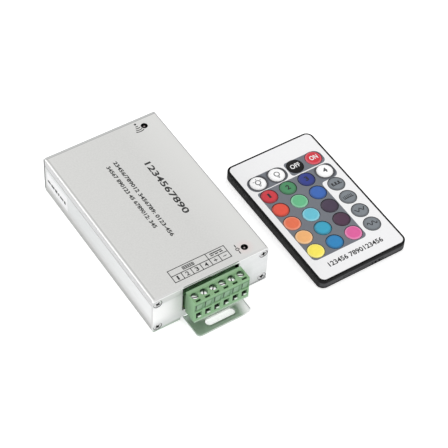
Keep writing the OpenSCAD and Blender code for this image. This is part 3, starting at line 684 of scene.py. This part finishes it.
tinned(epoxy.copy(), "mosfets", both_ends(FET_LEAD, FET_TAB))
tinned(epoxy.copy(), "voltage_regulator", both_ends(REGULATOR_LEAD, REGULATOR_LEAD))
tinned(epoxy.copy(), "control_chips", lambda place, low, high: beyond(size_of(place[0]), CHIP_HALF))
tinned(dark_filter, "ir_receiver", lambda place, low, high: below(place[2], low.z + EYE_UP))
tinned(clear_resin, "ir_emitter", lambda place, low, high: below(place[1], low.y + EMITTER_LEAD))

nx, ny, nz = own_normal(sleeve_film)
overlay(sleeve_film, step_up(nx, -0.84, -0.87), (196, 202, 214), 0.3)
overlay(sleeve_film, step_up(nz, 0.8, 0.9), (212, 212, 210), 0.3, 1.0)
dress(sleeve_film, "capacitors")
print("parts on the boards dressed")

# %% [markdown]
# ## Printing
# Ink is a real thing with a thickness, though a very small one. Each mark is drawn flat,
# as text or as an outline with holes, made a mesh, laid on its surface and then given
# its thickness by Solidify. Drawing it as geometry keeps its edges sharp from close up,
# which a painted texture would not.

# %% Helpers for printing
INK = 0.02
RIGHT, AWAY, TOP = Vector((1, 0, 0)), Vector((0, 1, 0)), Vector((0, 0, 1))
NEARER = Vector((0, -1, 0))


def lay(obj, at, along=RIGHT, up=AWAY):
    """Carries a flat drawing from the origin to its surface: x runs along, y runs up."""
    place = Matrix((along, up, along.cross(up))).transposed().to_4x4()
    place.translation = Vector(at) * MM
    obj.data.transform(place)
    return obj


def shape(outlines):
    """A flat sheet from closed outlines in mm. An outline inside another one is a hole."""
    curve = bpy.data.curves.new("shape", "CURVE")
    curve.dimensions = "2D"
    curve.fill_mode = "BOTH"
    for outline in outlines:
        spline = curve.splines.new("POLY")
        spline.points.add(len(outline) - 1)
        for point, (x, y) in zip(spline.points, outline):
            point.co = (x * MM, y * MM, 0, 1)
        spline.use_cyclic_u = True
    obj = bpy.data.objects.new("shape", curve)
    bpy.context.scene.collection.objects.link(obj)
    only(obj)
    bpy.ops.object.convert(target="MESH")
    return bpy.context.object


def write(words, length, height, heavy=0.0):
    """Flat words, fitted to a length and a height in mm, with their middle at the origin."""
    bpy.ops.object.text_add(location=(0, 0, 0))
    text = bpy.context.object
    text.data.body = words
    text.data.resolution_u = 3
    text.data.offset = heavy
    only(text)
    bpy.ops.object.convert(target="MESH")
    text = bpy.context.object
    xs, ys = ([v.co[i] for v in text.data.vertices] for i in (0, 1))
    middle = Vector(((min(xs) + max(xs)) / 2, (min(ys) + max(ys)) / 2, 0))
    fit = Matrix.Diagonal((length * MM / (max(xs) - min(xs)), height * MM / (max(ys) - min(ys)), 1, 1))
    text.data.transform(fit @ Matrix.Translation(-middle))
    return text


def circle(x, y, radius, steps=40, start=0.0, stop=360.0):
    """Points round a circle or along an arc of it."""
    gaps = steps if stop - start == 360.0 else steps - 1
    turns = [math.radians(start + (stop - start) * i / gaps) for i in range(steps)]
    return [(x + radius * math.cos(t), y + radius * math.sin(t)) for t in turns]


def rounded(*corners):
    """The outline of a shape with square corners (x, y, radius), each one rounded."""
    points = []
    for i, (x, y, radius) in enumerate(corners):
        corner = Vector((x, y))
        before = (Vector(corners[i - 1][:2]) - corner).normalized() * radius
        after = (Vector(corners[(i + 1) % len(corners)][:2]) - corner).normalized() * radius
        for k in range(7):
            turn = math.pi / 2 * k / 6
            points.append(tuple(corner + before + after - after * math.cos(turn)
                                - before * math.sin(turn)))
    return points


def oblong(x0, y0, x1, y1, radius=0.0):
    """A rectangle, with round corners if it has a radius."""
    if not radius:
        return [(x0, y0), (x1, y0), (x1, y1), (x0, y1)]
    return rounded((x0, y0, radius), (x1, y0, radius), (x1, y1, radius), (x0, y1, radius))


def bar(x, y, half_long, half_tall):
    """A rectangle about its middle."""
    return oblong(x - half_long, y - half_tall, x + half_long, y + half_tall)


def ribbon(points, width):
    """The outline of a pen stroke along open points."""
    left, right_side = [], []
    for i, point in enumerate(points):
        ahead = Vector(points[min(i + 1, len(points) - 1)]) - Vector(points[max(i - 1, 0)])
        across = Vector((-ahead.y, ahead.x)).normalized() * width / 2
        left.append(tuple(Vector(point) + across))
        right_side.append(tuple(Vector(point) - across))
    return left + right_side[::-1]


def printed(marks, name, ink, body, slot, onto=None):
    """Joins laid marks into one printed piece with the ink's thickness. On a domed
    surface the marks are first let down onto it."""
    for mark in marks:
        mark.data.materials.clear()
    obj = joined(marks)
    weld(obj)
    if onto:
        bpy.ops.mesh.quads_convert_to_tris()
        bpy.ops.mesh.subdivide(number_cuts=3)
        wrap = obj.modifiers.new("let_down", "SHRINKWRAP")
        wrap.wrap_method = "PROJECT"
        wrap.use_project_z = True
        wrap.use_negative_direction = True
        wrap.use_positive_direction = True
        wrap.target = onto
        wrap.offset = INK * MM
    bpy.ops.object.mode_set(mode="OBJECT")
    thicken(obj, INK)
    return piece(settle(obj, name), ink, body, slot)


black_ink = finish("black_ink", (30, 31, 31), 0.55, uneven=0.08, patch=0.8, grain=0.1, relief=0.002)
print("printing helpers ready")

# %% [markdown]
# ## What is printed on the case
# A little table over the terminal names its poles, with a strip of lamps over the first
# four and a direct-current sign over the last two. The large and the small lines of print
# are plain figures here. Their place, size and weight are what makes the case look right.

# %% Table over the terminal
TABLE_X = (-17.0, 14.05)
TABLE_Y = (-47.5, -43.6, -39.95)
POLES = 6
HALF_LINE = 0.2
ARM = 0.95
cell = (TABLE_X[1] - TABLE_X[0]) / POLES
case_top = box_mm("case_sleeve")[1].z
low_row, high_row = TABLE_Y[:2], TABLE_Y[1:]


def cells(y0, y1, spans, inset=HALF_LINE):
    """The openings between a row's lines: one for each span of poles."""
    return [oblong(TABLE_X[0] + a * cell + inset, y0 + inset, TABLE_X[0] + b * cell - inset, y1 - inset)
            for a, b in spans]


def in_row(mark, poles_along, y0, y1):
    """Lays a mark in the middle of a row, so many poles along the table."""
    return lay(mark, (TABLE_X[0] + poles_along * cell, (y0 + y1) / 2, case_top))


table_lines = cells(TABLE_Y[0], TABLE_Y[2], [(0, POLES)], -HALF_LINE)
table_lines += cells(*low_row, [(i, i + 1) for i in range(POLES)])
table_lines += cells(*high_row, [(0, 4), (4, 6)])
marks = [lay(shape(table_lines), (0, 0, case_top))]
for i, sign in enumerate("1234"):
    marks.append(in_row(write(sign, 0.9 if sign == "1" else 1.75, 2.5, 0.02), i + 0.5, *low_row))

plus, quarter = [], [(-ARM, -HALF_LINE), (-HALF_LINE, -HALF_LINE), (-HALF_LINE, -ARM)]
for _ in range(4):
    plus += quarter
    quarter = [(-y, x) for x, y in quarter]
marks.append(in_row(shape([plus]), 4.5, *low_row))
marks.append(in_row(shape([bar(0, 0, ARM, HALF_LINE)]), 5.5, *low_row))

strip_sign = [bar(0, 0, 3.2, 0.95), bar(0, 0, 2.8, 0.55)]
strip_sign += [bar(x, 0, 0.38, 0.36) for x in (-2.2, -1.1, 0, 1.1, 2.2)]
marks.append(in_row(shape(strip_sign), 2, *high_row))
direct = [bar(0, 0.55, 3.4, 0.3)] + [bar(x, -0.55, 0.9, 0.3) for x in (-2.5, 0, 2.5)]
marks.append(in_row(shape(direct), 5, *high_row))
printed(marks, "terminal_table_print", black_ink, "controller", "case_aluminium")
print("table printed, cells", round(cell, 2), "mm wide")

# %% Lines of figures, and the two lamps' signs
LINES = (("1234567890", 37.7, 3.5, (10.47, 4.95), 0.025),
         ("23456/789012 3456789: 0123-456", 54.9, 2.2, (-3.05, 4.85), 0.03),
         ("34567 890123 45 6789012: 345", 45.4, 2.2, (-7.5, 8.5), 0.03))
marks = [lay(write(words, length, height, heavy), (*middle, case_top), NEARER, RIGHT)
         for words, length, height, middle, heavy in LINES]

waves = [ribbon(circle(-2.7, 0, radius, 14, -24, 24), 0.5) for radius in (1.7, 3.0, 4.3, 5.5)]
waves.append(circle(-2.7, 0, 0.6, 16))
power_sign = [ribbon(circle(0, 0, 0.8, 28, 120, 420), 0.42), oblong(-0.21, 0.2, 0.21, 1.2),
              oblong(-3.0, -0.25, -1.35, 0.25), oblong(1.35, -0.25, 3.0, 0.25)]
for sign, y in ((waves, 46.2), (power_sign, -45.4)):
    marks.append(lay(shape(sign), (18.6, y, case_top), NEARER, RIGHT))
printed(marks, "case_figures_print", black_ink, "controller", "case_aluminium")
print("figures printed")

# %% [markdown]
# ## Paper label
# A white paper label sits on the left side near the rear. It is a thin sheet with round
# corners that stands just proud of the metal. Its print is a row of plain dashes.

# %% Label on the left side
LABEL_LONG, LABEL_TALL, PAPER = 20.7, 9.6, 0.08
LABEL_MIDDLE = Vector((-32.0, 38.65, 11.8))
DASH_GAP = 0.7
label_paper = finish("label_paper", (239, 239, 240), 0.62, uneven=0.01, grain=0.12)
label = shape([oblong(-LABEL_LONG / 2, -LABEL_TALL / 2, LABEL_LONG / 2, LABEL_TALL / 2, 0.6)])
thicken(lay(label, LABEL_MIDDLE, NEARER, TOP), PAPER)
piece(settle(label, "side_label"), label_paper, "controller", "case_aluminium")

dashes, x = [], -9.65
for length, tall in ((3.0, 1.3), (3.1, 1.6), (2.2, 1.9), (1.3, 1.7), (3.4, 1.4), (1.5, 2.1)):
    dashes.append(oblong(x, -0.85 - tall / 2, x + length, -0.85 + tall / 2))
    x += length + DASH_GAP
strip = lay(shape(dashes), LABEL_MIDDLE - Vector((PAPER, 0, 0)), NEARER, TOP)
printed([strip], "side_label_print", black_ink, "controller", "case_aluminium")
print("label and", len(dashes), "dashes")

# %% [markdown]
# ## Screws of the end plates
# Eight countersunk screws with a cross recess. One is turned on the lathe helper, the
# recess is carved with two crossed pairs of boxes, and the copies are turned to slightly
# different angles, because no two screws stop at the same place.

# %% Case screws
HEAD_R = 2.1
HEAD_Y = 52.0
SCREW_X = 29.3
SCREW_Z = (3.15, 20.15)
RECESS = ((2.7, 0.7, 1.6), (1.4, 1.1, 3.0))
FIRST_TURN, NEXT_TURN = 0.6, 0.37
screw_outline = [(0, -8.0), (0.9, -8.0), (1.2, -7.6), (1.2, -1.1), (HEAD_R, -0.2), (HEAD_R, -0.12),
                 (HEAD_R - 0.12, -0.05), (1.3, -0.01), (0, 0)]
screw = lathe("case_screw", screw_outline, steps=32)
for turn in (0, math.pi / 2):
    for size in RECESS:
        carve(screw, block(size, (0, 0, 0), turn))
copies = []
for face in (-1, 1):
    for x in (-SCREW_X, SCREW_X):
        for z in SCREW_Z:
            turned = Matrix.Rotation(FIRST_TURN + NEXT_TURN * len(copies), 4, "Z")
            outward = Matrix.Rotation(math.radians(90 * -face), 4, "X")
            place = Matrix.Translation(Vector((x, face * HEAD_Y, z)) * MM)
            copies.append(twin(screw, "case_screw", place @ outward @ turned))
bpy.data.objects.remove(screw)
case_screws = settle(joined(copies), "case_screws", smooth=30)
screw_plating = finish("screw_plating", (232, 232, 233), 0.25, metal=0.9, patch=1.2, grain=0.2)
# Painted shade in the cross recess.
recess_shade = step_up(size_of(own_place(screw_plating)[1]), HEAD_Y - 0.12, HEAD_Y - 0.3)
overlay(screw_plating, recess_shade, (18, 18, 18), 0.7, 0.0)
piece(case_screws, screw_plating, "controller", "screw_steel", "end_plate_screws")
print(len(copies), "case screws")

# %% [markdown]
# ## Indicator leds
# Each led is a clear resin bullet with a flange. What one sees through it is the little
# bright cup that holds the chip, so the cup and the two leads are modelled too.

# %% Leds under their holes in the case
LED_LEAD = (0.5, 0.5, 12.0)
LEAD_Z = 12.2
HALF_LEAD_PITCH = 1.27
led_outline = [(0, 17.6), (1.9, 17.6), (1.9, 18.6), (1.5, 18.6), (1.5, 21.4), (1.44, 21.85), (1.25, 22.3),
               (0.95, 22.62), (0.5, 22.84), (0, 22.9)]
cup_outline = [(0, 17.7), (0.35, 17.7), (0.4, 18.8), (0.75, 19.6), (0.8, 20.2), (0.65, 20.2),
               (0.3, 19.7), (0, 19.7)]
led_x, led_y = LED_PLACE
bullets, cups = [], []
for y in (-led_y, led_y):
    for outline, made in ((led_outline, bullets), (cup_outline, cups)):
        part = lathe("led_part", outline, steps=40)
        part.data.transform(Matrix.Translation(Vector((led_x, y, 0)) * MM))
        made.append(part)
    for side in (-1, 1):
        cups.append(block(LED_LEAD, (led_x + side * HALF_LEAD_PITCH, y, LEAD_Z)))
bullets = settle(joined(bullets), "led_bullets", smooth=40)
cups = settle(joined(cups), "led_cups", smooth=40)
led_resin = finish("led_resin", (196, 178, 178), 0.06, uneven=0.02, patch=1.0, grain=0.6, relief=0.001,
                   Transmission_Weight=0.3, IOR=1.53, Specular_IOR_Level=0.1)
x, y, z = own_place(led_resin)
# Painted shade: the resin is painted near black away from its middle.
overlay(led_resin, step_up(far_from(x, size_of(y), LED_PLACE), 0.2, 0.55), (5, 4, 4), 0.3)
piece(bullets, led_resin, "controller", "led_resin", "indicator_leds")
piece(cups, tin, "controller", "tinned_brass")
print("two leds")

# %% [markdown]
# ## Green plug
# A moulded block never has knife edges. The solid already has every hollow in its true
# place, so a copy of it is merged, its flat faces are joined up again, and a small
# bevel runs round all its edges. Its hollows get painted shade that deepens with their
# depth, and its faces painted light and shade.

# %% Plug with moulded edges
MOULD_R = 0.14
plug = twin(nodes["plug_body"], "plug_moulding")
plug.hide_render = plug.hide_viewport = False
plug.parent = None
for key in list(plug.keys()):
    del plug[key]
weld(plug)
bpy.ops.mesh.dissolve_limited(angle_limit=math.radians(1))
bpy.ops.object.mode_set(mode="OBJECT")
edge = plug.modifiers.new("edges", "BEVEL")
edge.width = MOULD_R * MM
edge.segments = 2
edge.limit_method = "ANGLE"
edge.angle_limit = math.radians(50)
apply_all(plug)
settle(plug, "plug_moulding", smooth=35)
print("plug moulding", len(plug.data.polygons), "faces")

# %% Plastic of the plug
BLOCK_BACK = -53.5
PANEL_Z = (14.6, 19.8)
ENTRY_Z = (9.4, 10.4)
PITCH = 5.08
plug_plastic = finish("plug_plastic", (133, 176, 131), 0.46, **GREEN_MOULDING)
nx, ny, nz = own_normal(plug_plastic)
x, y, z = own_place(plug_plastic)
half_long = (plug_high.x - plug_low.x) / 2
from_middle = size_of(calc("SUBTRACT", x, (plug_low.x + plug_high.x) / 2))
# Painted shade in the hollows, deepening inward.
hollow = both(step_up(from_middle, half_long - 0.2, half_long - 0.5),
              step_up(z, plug_high.z - 0.3, plug_high.z - 1.1), step_up(z, plug_low.z, plug_low.z + 0.4),
              step_up(y, plug_low.y + 0.7, plug_low.y + 1.1), step_up(y, BLOCK_BACK, BLOCK_BACK - 0.4))
overlay(plug_plastic, hollow, (14, 22, 15), 0.7)

pole = calc("FRACT", calc("ADD", calc("DIVIDE", x, PITCH), 3.0))
on_front = step_up(ny, -0.6, -0.8)
# Painted light and shade on the front face: darker upper bands and brow, lighter panels, a painted shadow
# line at each panel's left and a painted highlight along the bottom sill.
upper_front = both(step_up(z, PANEL_Z[0] + 0.3, PANEL_Z[0] + 0.6),
                   step_up(z, PANEL_Z[1] + 0.4, PANEL_Z[1] - 0.1), on_front)
overlay(plug_plastic, upper_front, (112, 150, 115), 0.5)
overlay(plug_plastic, (upper_front, between(z, 15.3, 16.2, 0.5)), (98, 134, 101), 0.5)
brow = both(upper_front, between(z, 19.1, 19.7, 0.4))
overlay(plug_plastic, brow, (104, 140, 103), 0.5)
recess = step_up(y, plug_low.y + 0.04, plug_low.y + 0.12)
panel = both(step_up(z, PANEL_Z[0] - 0.2, PANEL_Z[0]), recess, on_front)
overlay(plug_plastic, (panel, step_up(z, 19.0, 18.4)), (138, 172, 141), 0.5)
overlay(plug_plastic, (panel, brow), (112, 148, 112), 0.5)
left_shadow_line = both(panel, step_up(z, PANEL_Z[1], PANEL_Z[1] - 0.3), step_up(pole, 0.3, 0.26))
overlay(plug_plastic, left_shadow_line, (34, 56, 36), 0.6)
sill_highlight = both(on_front, step_up(z, plug_low.z + 1.3, plug_low.z + 0.5))
overlay(plug_plastic, sill_highlight, (186, 210, 187), 0.5)

# Painted light and shade on the left face, darker towards the plate, and on the top, with a painted dark
# line of shade across it.
on_left = step_up(nx, -0.6, -0.85)
overlay(plug_plastic, on_left, (140, 184, 139), 0.5)
overlay(plug_plastic, (on_left, step_up(y, -61.0, -54.0)), (118, 154, 116), 0.5)
upper = step_up(nz, 0.85, 0.95)
overlay(plug_plastic, upper, (127, 165, 121), 0.5)
overlay(plug_plastic, (upper, step_up(y, -54.9, -54.3)), (142, 178, 139), 0.5)
groove_shade = both(upper, between(y, -56.6, -55.8, 0.3))
overlay(plug_plastic, (groove_shade, 0.6), (92, 128, 88), 0.5)
# Painted shade in the wire entries' lead-ins and a painted highlight on their lower lip.
lead_in = both(between(z, ENTRY_Z[0] + 0.1, ENTRY_Z[1], 0.1), recess, step_up(nz, 0.3, 0.5))
overlay(plug_plastic, lead_in, (30, 44, 31), 0.6)
lip_highlight = both(lead_in, step_up(y, plug_low.y + 0.75, plug_low.y + 0.55), step_up(pole, 0.42, 0.5))
overlay(plug_plastic, lip_highlight, (240, 255, 241), 0.4)
piece(plug, plug_plastic, "plug", "terminal_green", "plug_body")
print("plug dressed")

# %% [markdown]
# ## Terminal screws
# A cheese head with a driver slot and a threaded shank. The thread is drawn as a row of
# ridges, which is all that shows through the cage. Each slot stands at its own angle.

# %% Six slotted screws
SLOT_TURNS = (-20, 60, 50, -15, 65, -30)
SLOT = (5, 0.56, 1.8)
CHEESE_H, CHEESE_R = 1.7, 1.75
SHANK_R, CORE_R, THREAD_PITCH = 1.2, 1.02, 0.5
screw_low, screw_high = (corner.z for corner in box_mm("terminal_screw_1"))
head_low = screw_high - CHEESE_H
outline = [(0, screw_low), (0.95, screw_low), (SHANK_R, screw_low + 0.3)]
ridge = screw_low + 0.4
while ridge < head_low - 0.6:
    outline += [(SHANK_R, ridge), (CORE_R, ridge + 0.22), (SHANK_R, ridge + 0.44)]
    ridge += THREAD_PITCH
outline += [(SHANK_R, head_low), (CHEESE_R, head_low), (CHEESE_R, screw_high - 0.3),
            (CHEESE_R - 0.05, screw_high - 0.12), (CHEESE_R - 0.18, screw_high), (0, screw_high)]
screw = lathe("terminal_screw", outline, steps=40)
carve(screw, block(SLOT, (0, 0, screw_high)))
settle(screw, "terminal_screw", smooth=35)
bright_steel = finish("bright_screw", (255, 255, 255), 0.16, metal=0.85, uneven=0.03, patch=1.2,
                      grain=0.2)
# Painted shade in the slot and down the head's side.
screw_slot_shade = step_up(own_place(bright_steel)[2], screw_high - 0.25, screw_high - 0.5)
overlay(bright_steel, screw_slot_shade, (90, 90, 88), 0.4)
for i, turn in enumerate(SLOT_TURNS, 1):
    node = f"terminal_screw_{i}"
    low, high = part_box(node)
    middle = (low + high) / 2
    place = Matrix.Translation((middle.x, middle.y, 0)) @ Matrix.Rotation(math.radians(turn), 4, "Z")
    piece(twin(screw, f"slotted_screw_{i}", place), bright_steel, node, "screw_steel", node)
bpy.data.objects.remove(screw)
print("six terminal screws")

# %% [markdown]
# ## Grip of the battery tray
# Four moulded ribs stand in the tray's nail notch, just inside its face and its top.
# They ride on the tray and leave the remote with it.

# %% Ribs in the nail notch
RIBS = ((1.3, 0.4), (2.65, 1.25), (4.8, 1.4), (6.6, 1.5))
RIB_DEEP, RIB_TALL = 0.7, 1.5
RIB_INWARD, RIB_DOWN = 0.4, 0.8
ribs = []
for from_right, wide in RIBS:
    middle = (tray_high.x - from_right - wide / 2, tray_low.y + RIB_INWARD, tray_high.z - RIB_DOWN)
    ribs.append(block((wide, RIB_DEEP, RIB_TALL), middle))
piece(settle(joined(ribs), "grip_ribs"), remote_plastic, "tray", "remote_black")
print(len(ribs), "ribs in the notch")

# %% [markdown]
# ## Printed sheet of the remote
# The white sheet carries slate-grey fields with a hole at each key. The big field has a
# notch at its lower right, where the four effect keys stand on white, and a lobe round
# the white key above them.

# %% Grey fields on the sheet
HOLE_R = 4.6
KEY_ROWS = (("brighter", "dimmer", "off", "on"), ("red", "green", "navy", "white"),
            ("orange_red", "light_green", "blue", "mode_1"), ("orange", "sky", "dark_purple", "mode_2"),
            ("peach", "teal", "plum", "mode_3"), ("yellow", "azure", "pink", "mode_4"))
remote_low, remote_high = box_mm("remote_base")
remote_x, remote_y = (remote_low.x + remote_high.x) / 2, remote_low.y
sheet_top = box_mm("remote_overlay")[1].z
key_middle = {}
for row in KEY_ROWS:
    for key in row:
        low, high = box_mm(f"key_{key}")
        key_middle[key] = ((low.x + high.x) / 2, (low.y + high.y) / 2)

big_field = rounded((-21.1, 13.2, 2.5), (10.95, 13.2, 2.5), (10.95, 53.4, 2.0), (22.55, 53.4, 3.5),
                    (22.55, 63.6, 3.0), (-21.1, 63.6, 1.5))
bright_field = oblong(-22.3, 64.1, 0.3, 74.0, 4.5)
switch_field = rounded((1.2, 64.3, 1.5), (22.4, 64.3, 3.0), (22.4, 73.75, 4.0), (1.2, 73.75, 1.8))
holes = [circle(x - remote_x, y - remote_y, HOLE_R, 48) for key, (x, y) in key_middle.items()
         if not key.startswith("mode")]
slate_ink = finish("slate_ink", (108, 112, 120), 0.4, uneven=0.02, patch=2.0, grain=0.2, relief=0.001)
x, y, z = own_place(slate_ink)
# Painted shadow round the white keys on the slate.
for key in ("brighter", "dimmer", "white"):
    key_shade_ring = step_up(far_from(x, y, key_middle[key]), HOLE_R + 1.3, HOLE_R + 0.5)
    overlay(slate_ink, key_shade_ring, (66, 68, 73), 0.5)
fields = lay(shape([big_field, bright_field, switch_field] + holes), (remote_x, remote_y, sheet_top))
printed([fields], "remote_field_print", slate_ink, "remote", "overlay_white")

caption = lay(write("123456 7890123456", 32.1, 3.0, 0.024), (remote_x - 0.1, remote_y + 8.0, sheet_top))
printed([caption], "remote_figures_print", black_ink, "remote", "overlay_white")
print("fields with", len(holes), "key holes")

# %% [markdown]
# ## Keys
# A key is a soft rubber button with a flange that keeps it under the deck. Its top is
# slightly domed, which gives each key its bright crescent, and its rim is painted darker
# on white and dark keys as shade, and lighter on the others as sheen. One cap is turned
# and then copied 24 times, and every copy rides on its own body so that it can be pressed.

# %% Keycaps
KEY_TONES = {
    "brighter": (254, 254, 255), "dimmer": (254, 254, 255), "white": (254, 254, 255),
    "off": (18, 18, 20), "on": (206, 36, 54), "red": (206, 44, 58), "green": (66, 138, 92),
    "navy": (34, 50, 134), "orange_red": (228, 76, 54), "light_green": (96, 184, 132),
    "blue": (44, 96, 178), "orange": (230, 110, 72), "sky": (98, 190, 210), "dark_purple": (62, 46, 70),
    "peach": (242, 178, 112), "teal": (44, 160, 192), "plum": (72, 38, 66), "yellow": (252, 234, 88),
    "azure": (24, 128, 188), "pink": (220, 90, 154),
}
EFFECT_TONE = (122, 128, 134)
SLOTS = {"brighter": "key_white", "dimmer": "key_white", "off": "key_black", "on": "key_signal_red"}
FLANGE_WIDE, FLANGE_H = 0.5, 0.3
DOME = ((1.0, 0.75), (0.99, 0.62), (0.96, 0.5), (0.9, 0.38), (0.78, 0.25), (0.58, 0.12), (0.3, 0.03),
        (0.0, 0.0))


def slot_of(key):
    """The slot of a key and of the mark on it."""
    return "key_grey" if key.startswith("mode") else SLOTS.get(key, f"key_{key}")


def painted_rim_tone(key, colour):
    """Painted shade and sheen round the rim: white keys and dark keys darker, the others lighter."""
    light = sum(colour) / 3
    if light > 250:
        return [c * 0.94 for c in colour]
    if light > 133 or key == "on":
        return [c + (255 - c) * 0.24 for c in colour]
    return [c * 0.82 for c in colour]


low, high = box_mm("key_red")
key_foot, key_top, flange_r = low.z, high.z, (high.x - low.x) / 2
cap_r = flange_r - FLANGE_WIDE
cap_outline = [(0, key_foot), (flange_r, key_foot), (flange_r, key_foot + FLANGE_H),
               (cap_r, key_foot + FLANGE_H)]
cap_outline += [(cap_r * share, key_top - drop) for share, drop in DOME]
cap = lathe("cap", cap_outline, steps=56)
caps = {}
for key, (x, y) in key_middle.items():
    colour = KEY_TONES.get(key, EFFECT_TONE)
    rubber = finish(f"rubber_{key}", colour, 0.42, uneven=0.03, patch=1.5, grain=0.12, relief=0.003,
                    Specular_IOR_Level=0.2 if key == "off" else 0.5)
    # Painted rim: shade on white and dark keys, sheen on the others.
    overlay(rubber, step_up(own_normal(rubber)[2], 0.985, 0.95), painted_rim_tone(key, colour), 0.4)
    copy = twin(cap, f"cap_{key}", Matrix.Translation(Vector((x, y, 0)) * MM))
    caps[key] = piece(copy, rubber, f"key_{key}", slot_of(key), f"key_{key}")
bpy.data.objects.remove(cap)
print(len(caps), "keycaps")

# %% [markdown]
# The marks on the keys are let down onto the domes. The first three colours and the
# white key carry a figure, the effect keys a wave, the two brightness keys a lamp, and
# the red and the black one the plain words of a switch.

# %% Marks on the keys
STROKE = 0.46
MARK_LONG, MARK_TALL = 5.6, 2.1
white_ink = finish("white_ink", (242, 242, 242), 0.45, uneven=0.02, patch=1.0, grain=0.1, relief=0.001)
grey_ink = finish("grey_ink", (70, 72, 74), 0.45, patch=1.0, grain=0.1, relief=0.001)
deep_ink = finish("deep_ink", (22, 23, 28), 0.45, patch=1.0, grain=0.1, relief=0.001)


def bulb(radius, rays):
    """A lamp: a ring, the lines of its cap below it and some rays above."""
    lines = [circle(0, 0, radius, 28), circle(0, 0, radius - STROKE, 28)]
    for width, y in ((1.5, -radius - 0.5), (0.9, -radius - 1.1)):
        lines.append(oblong(-width / 2, y, width / 2, y + 0.3))
    for turn in rays:
        turn = math.radians(turn)
        ends = [(r * math.cos(turn), r * math.sin(turn)) for r in (radius + 0.35, radius + 1.0)]
        lines.append(ribbon(ends, 0.4))
    return shape(lines)


def wave(heights):
    """A stroke through evenly spaced heights, each from -1 to 1."""
    step = MARK_LONG / (len(heights) - 1)
    points = [(i * step - MARK_LONG / 2, h * MARK_TALL / 2) for i, h in enumerate(heights)]
    return shape([ribbon(points, STROKE)])


def pulses(count, share):
    """A row of upright bars over a base line: wide ones for flashing, narrow for a strobe."""
    step, left, low = MARK_LONG / count, -MARK_LONG / 2, -MARK_TALL / 2
    starts = [left + i * step for i in range(count)]
    return shape([oblong(left, low, -left, low + STROKE)]
                 + [oblong(x, low + STROKE + 0.12, x + share * step, -low) for x in starts])


smooth_wave = [math.sin(i / 24 * 4 * math.pi) for i in range(25)]
fading = [abs((i / 4) % 2 - 1) * 2 - 1 for i in range(17)]
key_marks = {
    "brighter": (bulb(1.6, (30, 90, 150)), grey_ink), "dimmer": (bulb(1.6, ()), grey_ink),
    "off": (write("OFF", 5.6, 2.9, 0.02), white_ink), "on": (write("ON", 4.5, 2.9, 0.02), white_ink),
    "red": (write("1", 1.2, 3.0, 0.03), deep_ink), "green": (write("2", 2.0, 3.0, 0.03), deep_ink),
    "navy": (write("3", 2.0, 3.0, 0.03), deep_ink), "white": (write("4", 2.3, 3.0, 0.03), grey_ink),
    "mode_1": (pulses(3, 0.5), deep_ink), "mode_2": (pulses(6, 0.35), deep_ink),
    "mode_3": (wave(fading), deep_ink), "mode_4": (wave(smooth_wave), deep_ink),
}
for key, (mark, ink) in key_marks.items():
    lay(mark, (*key_middle[key], key_top + 0.2))
    printed([mark], f"mark_{key}", ink, f"key_{key}", slot_of(key), onto=caps[key])
print(len(key_marks), "marks")
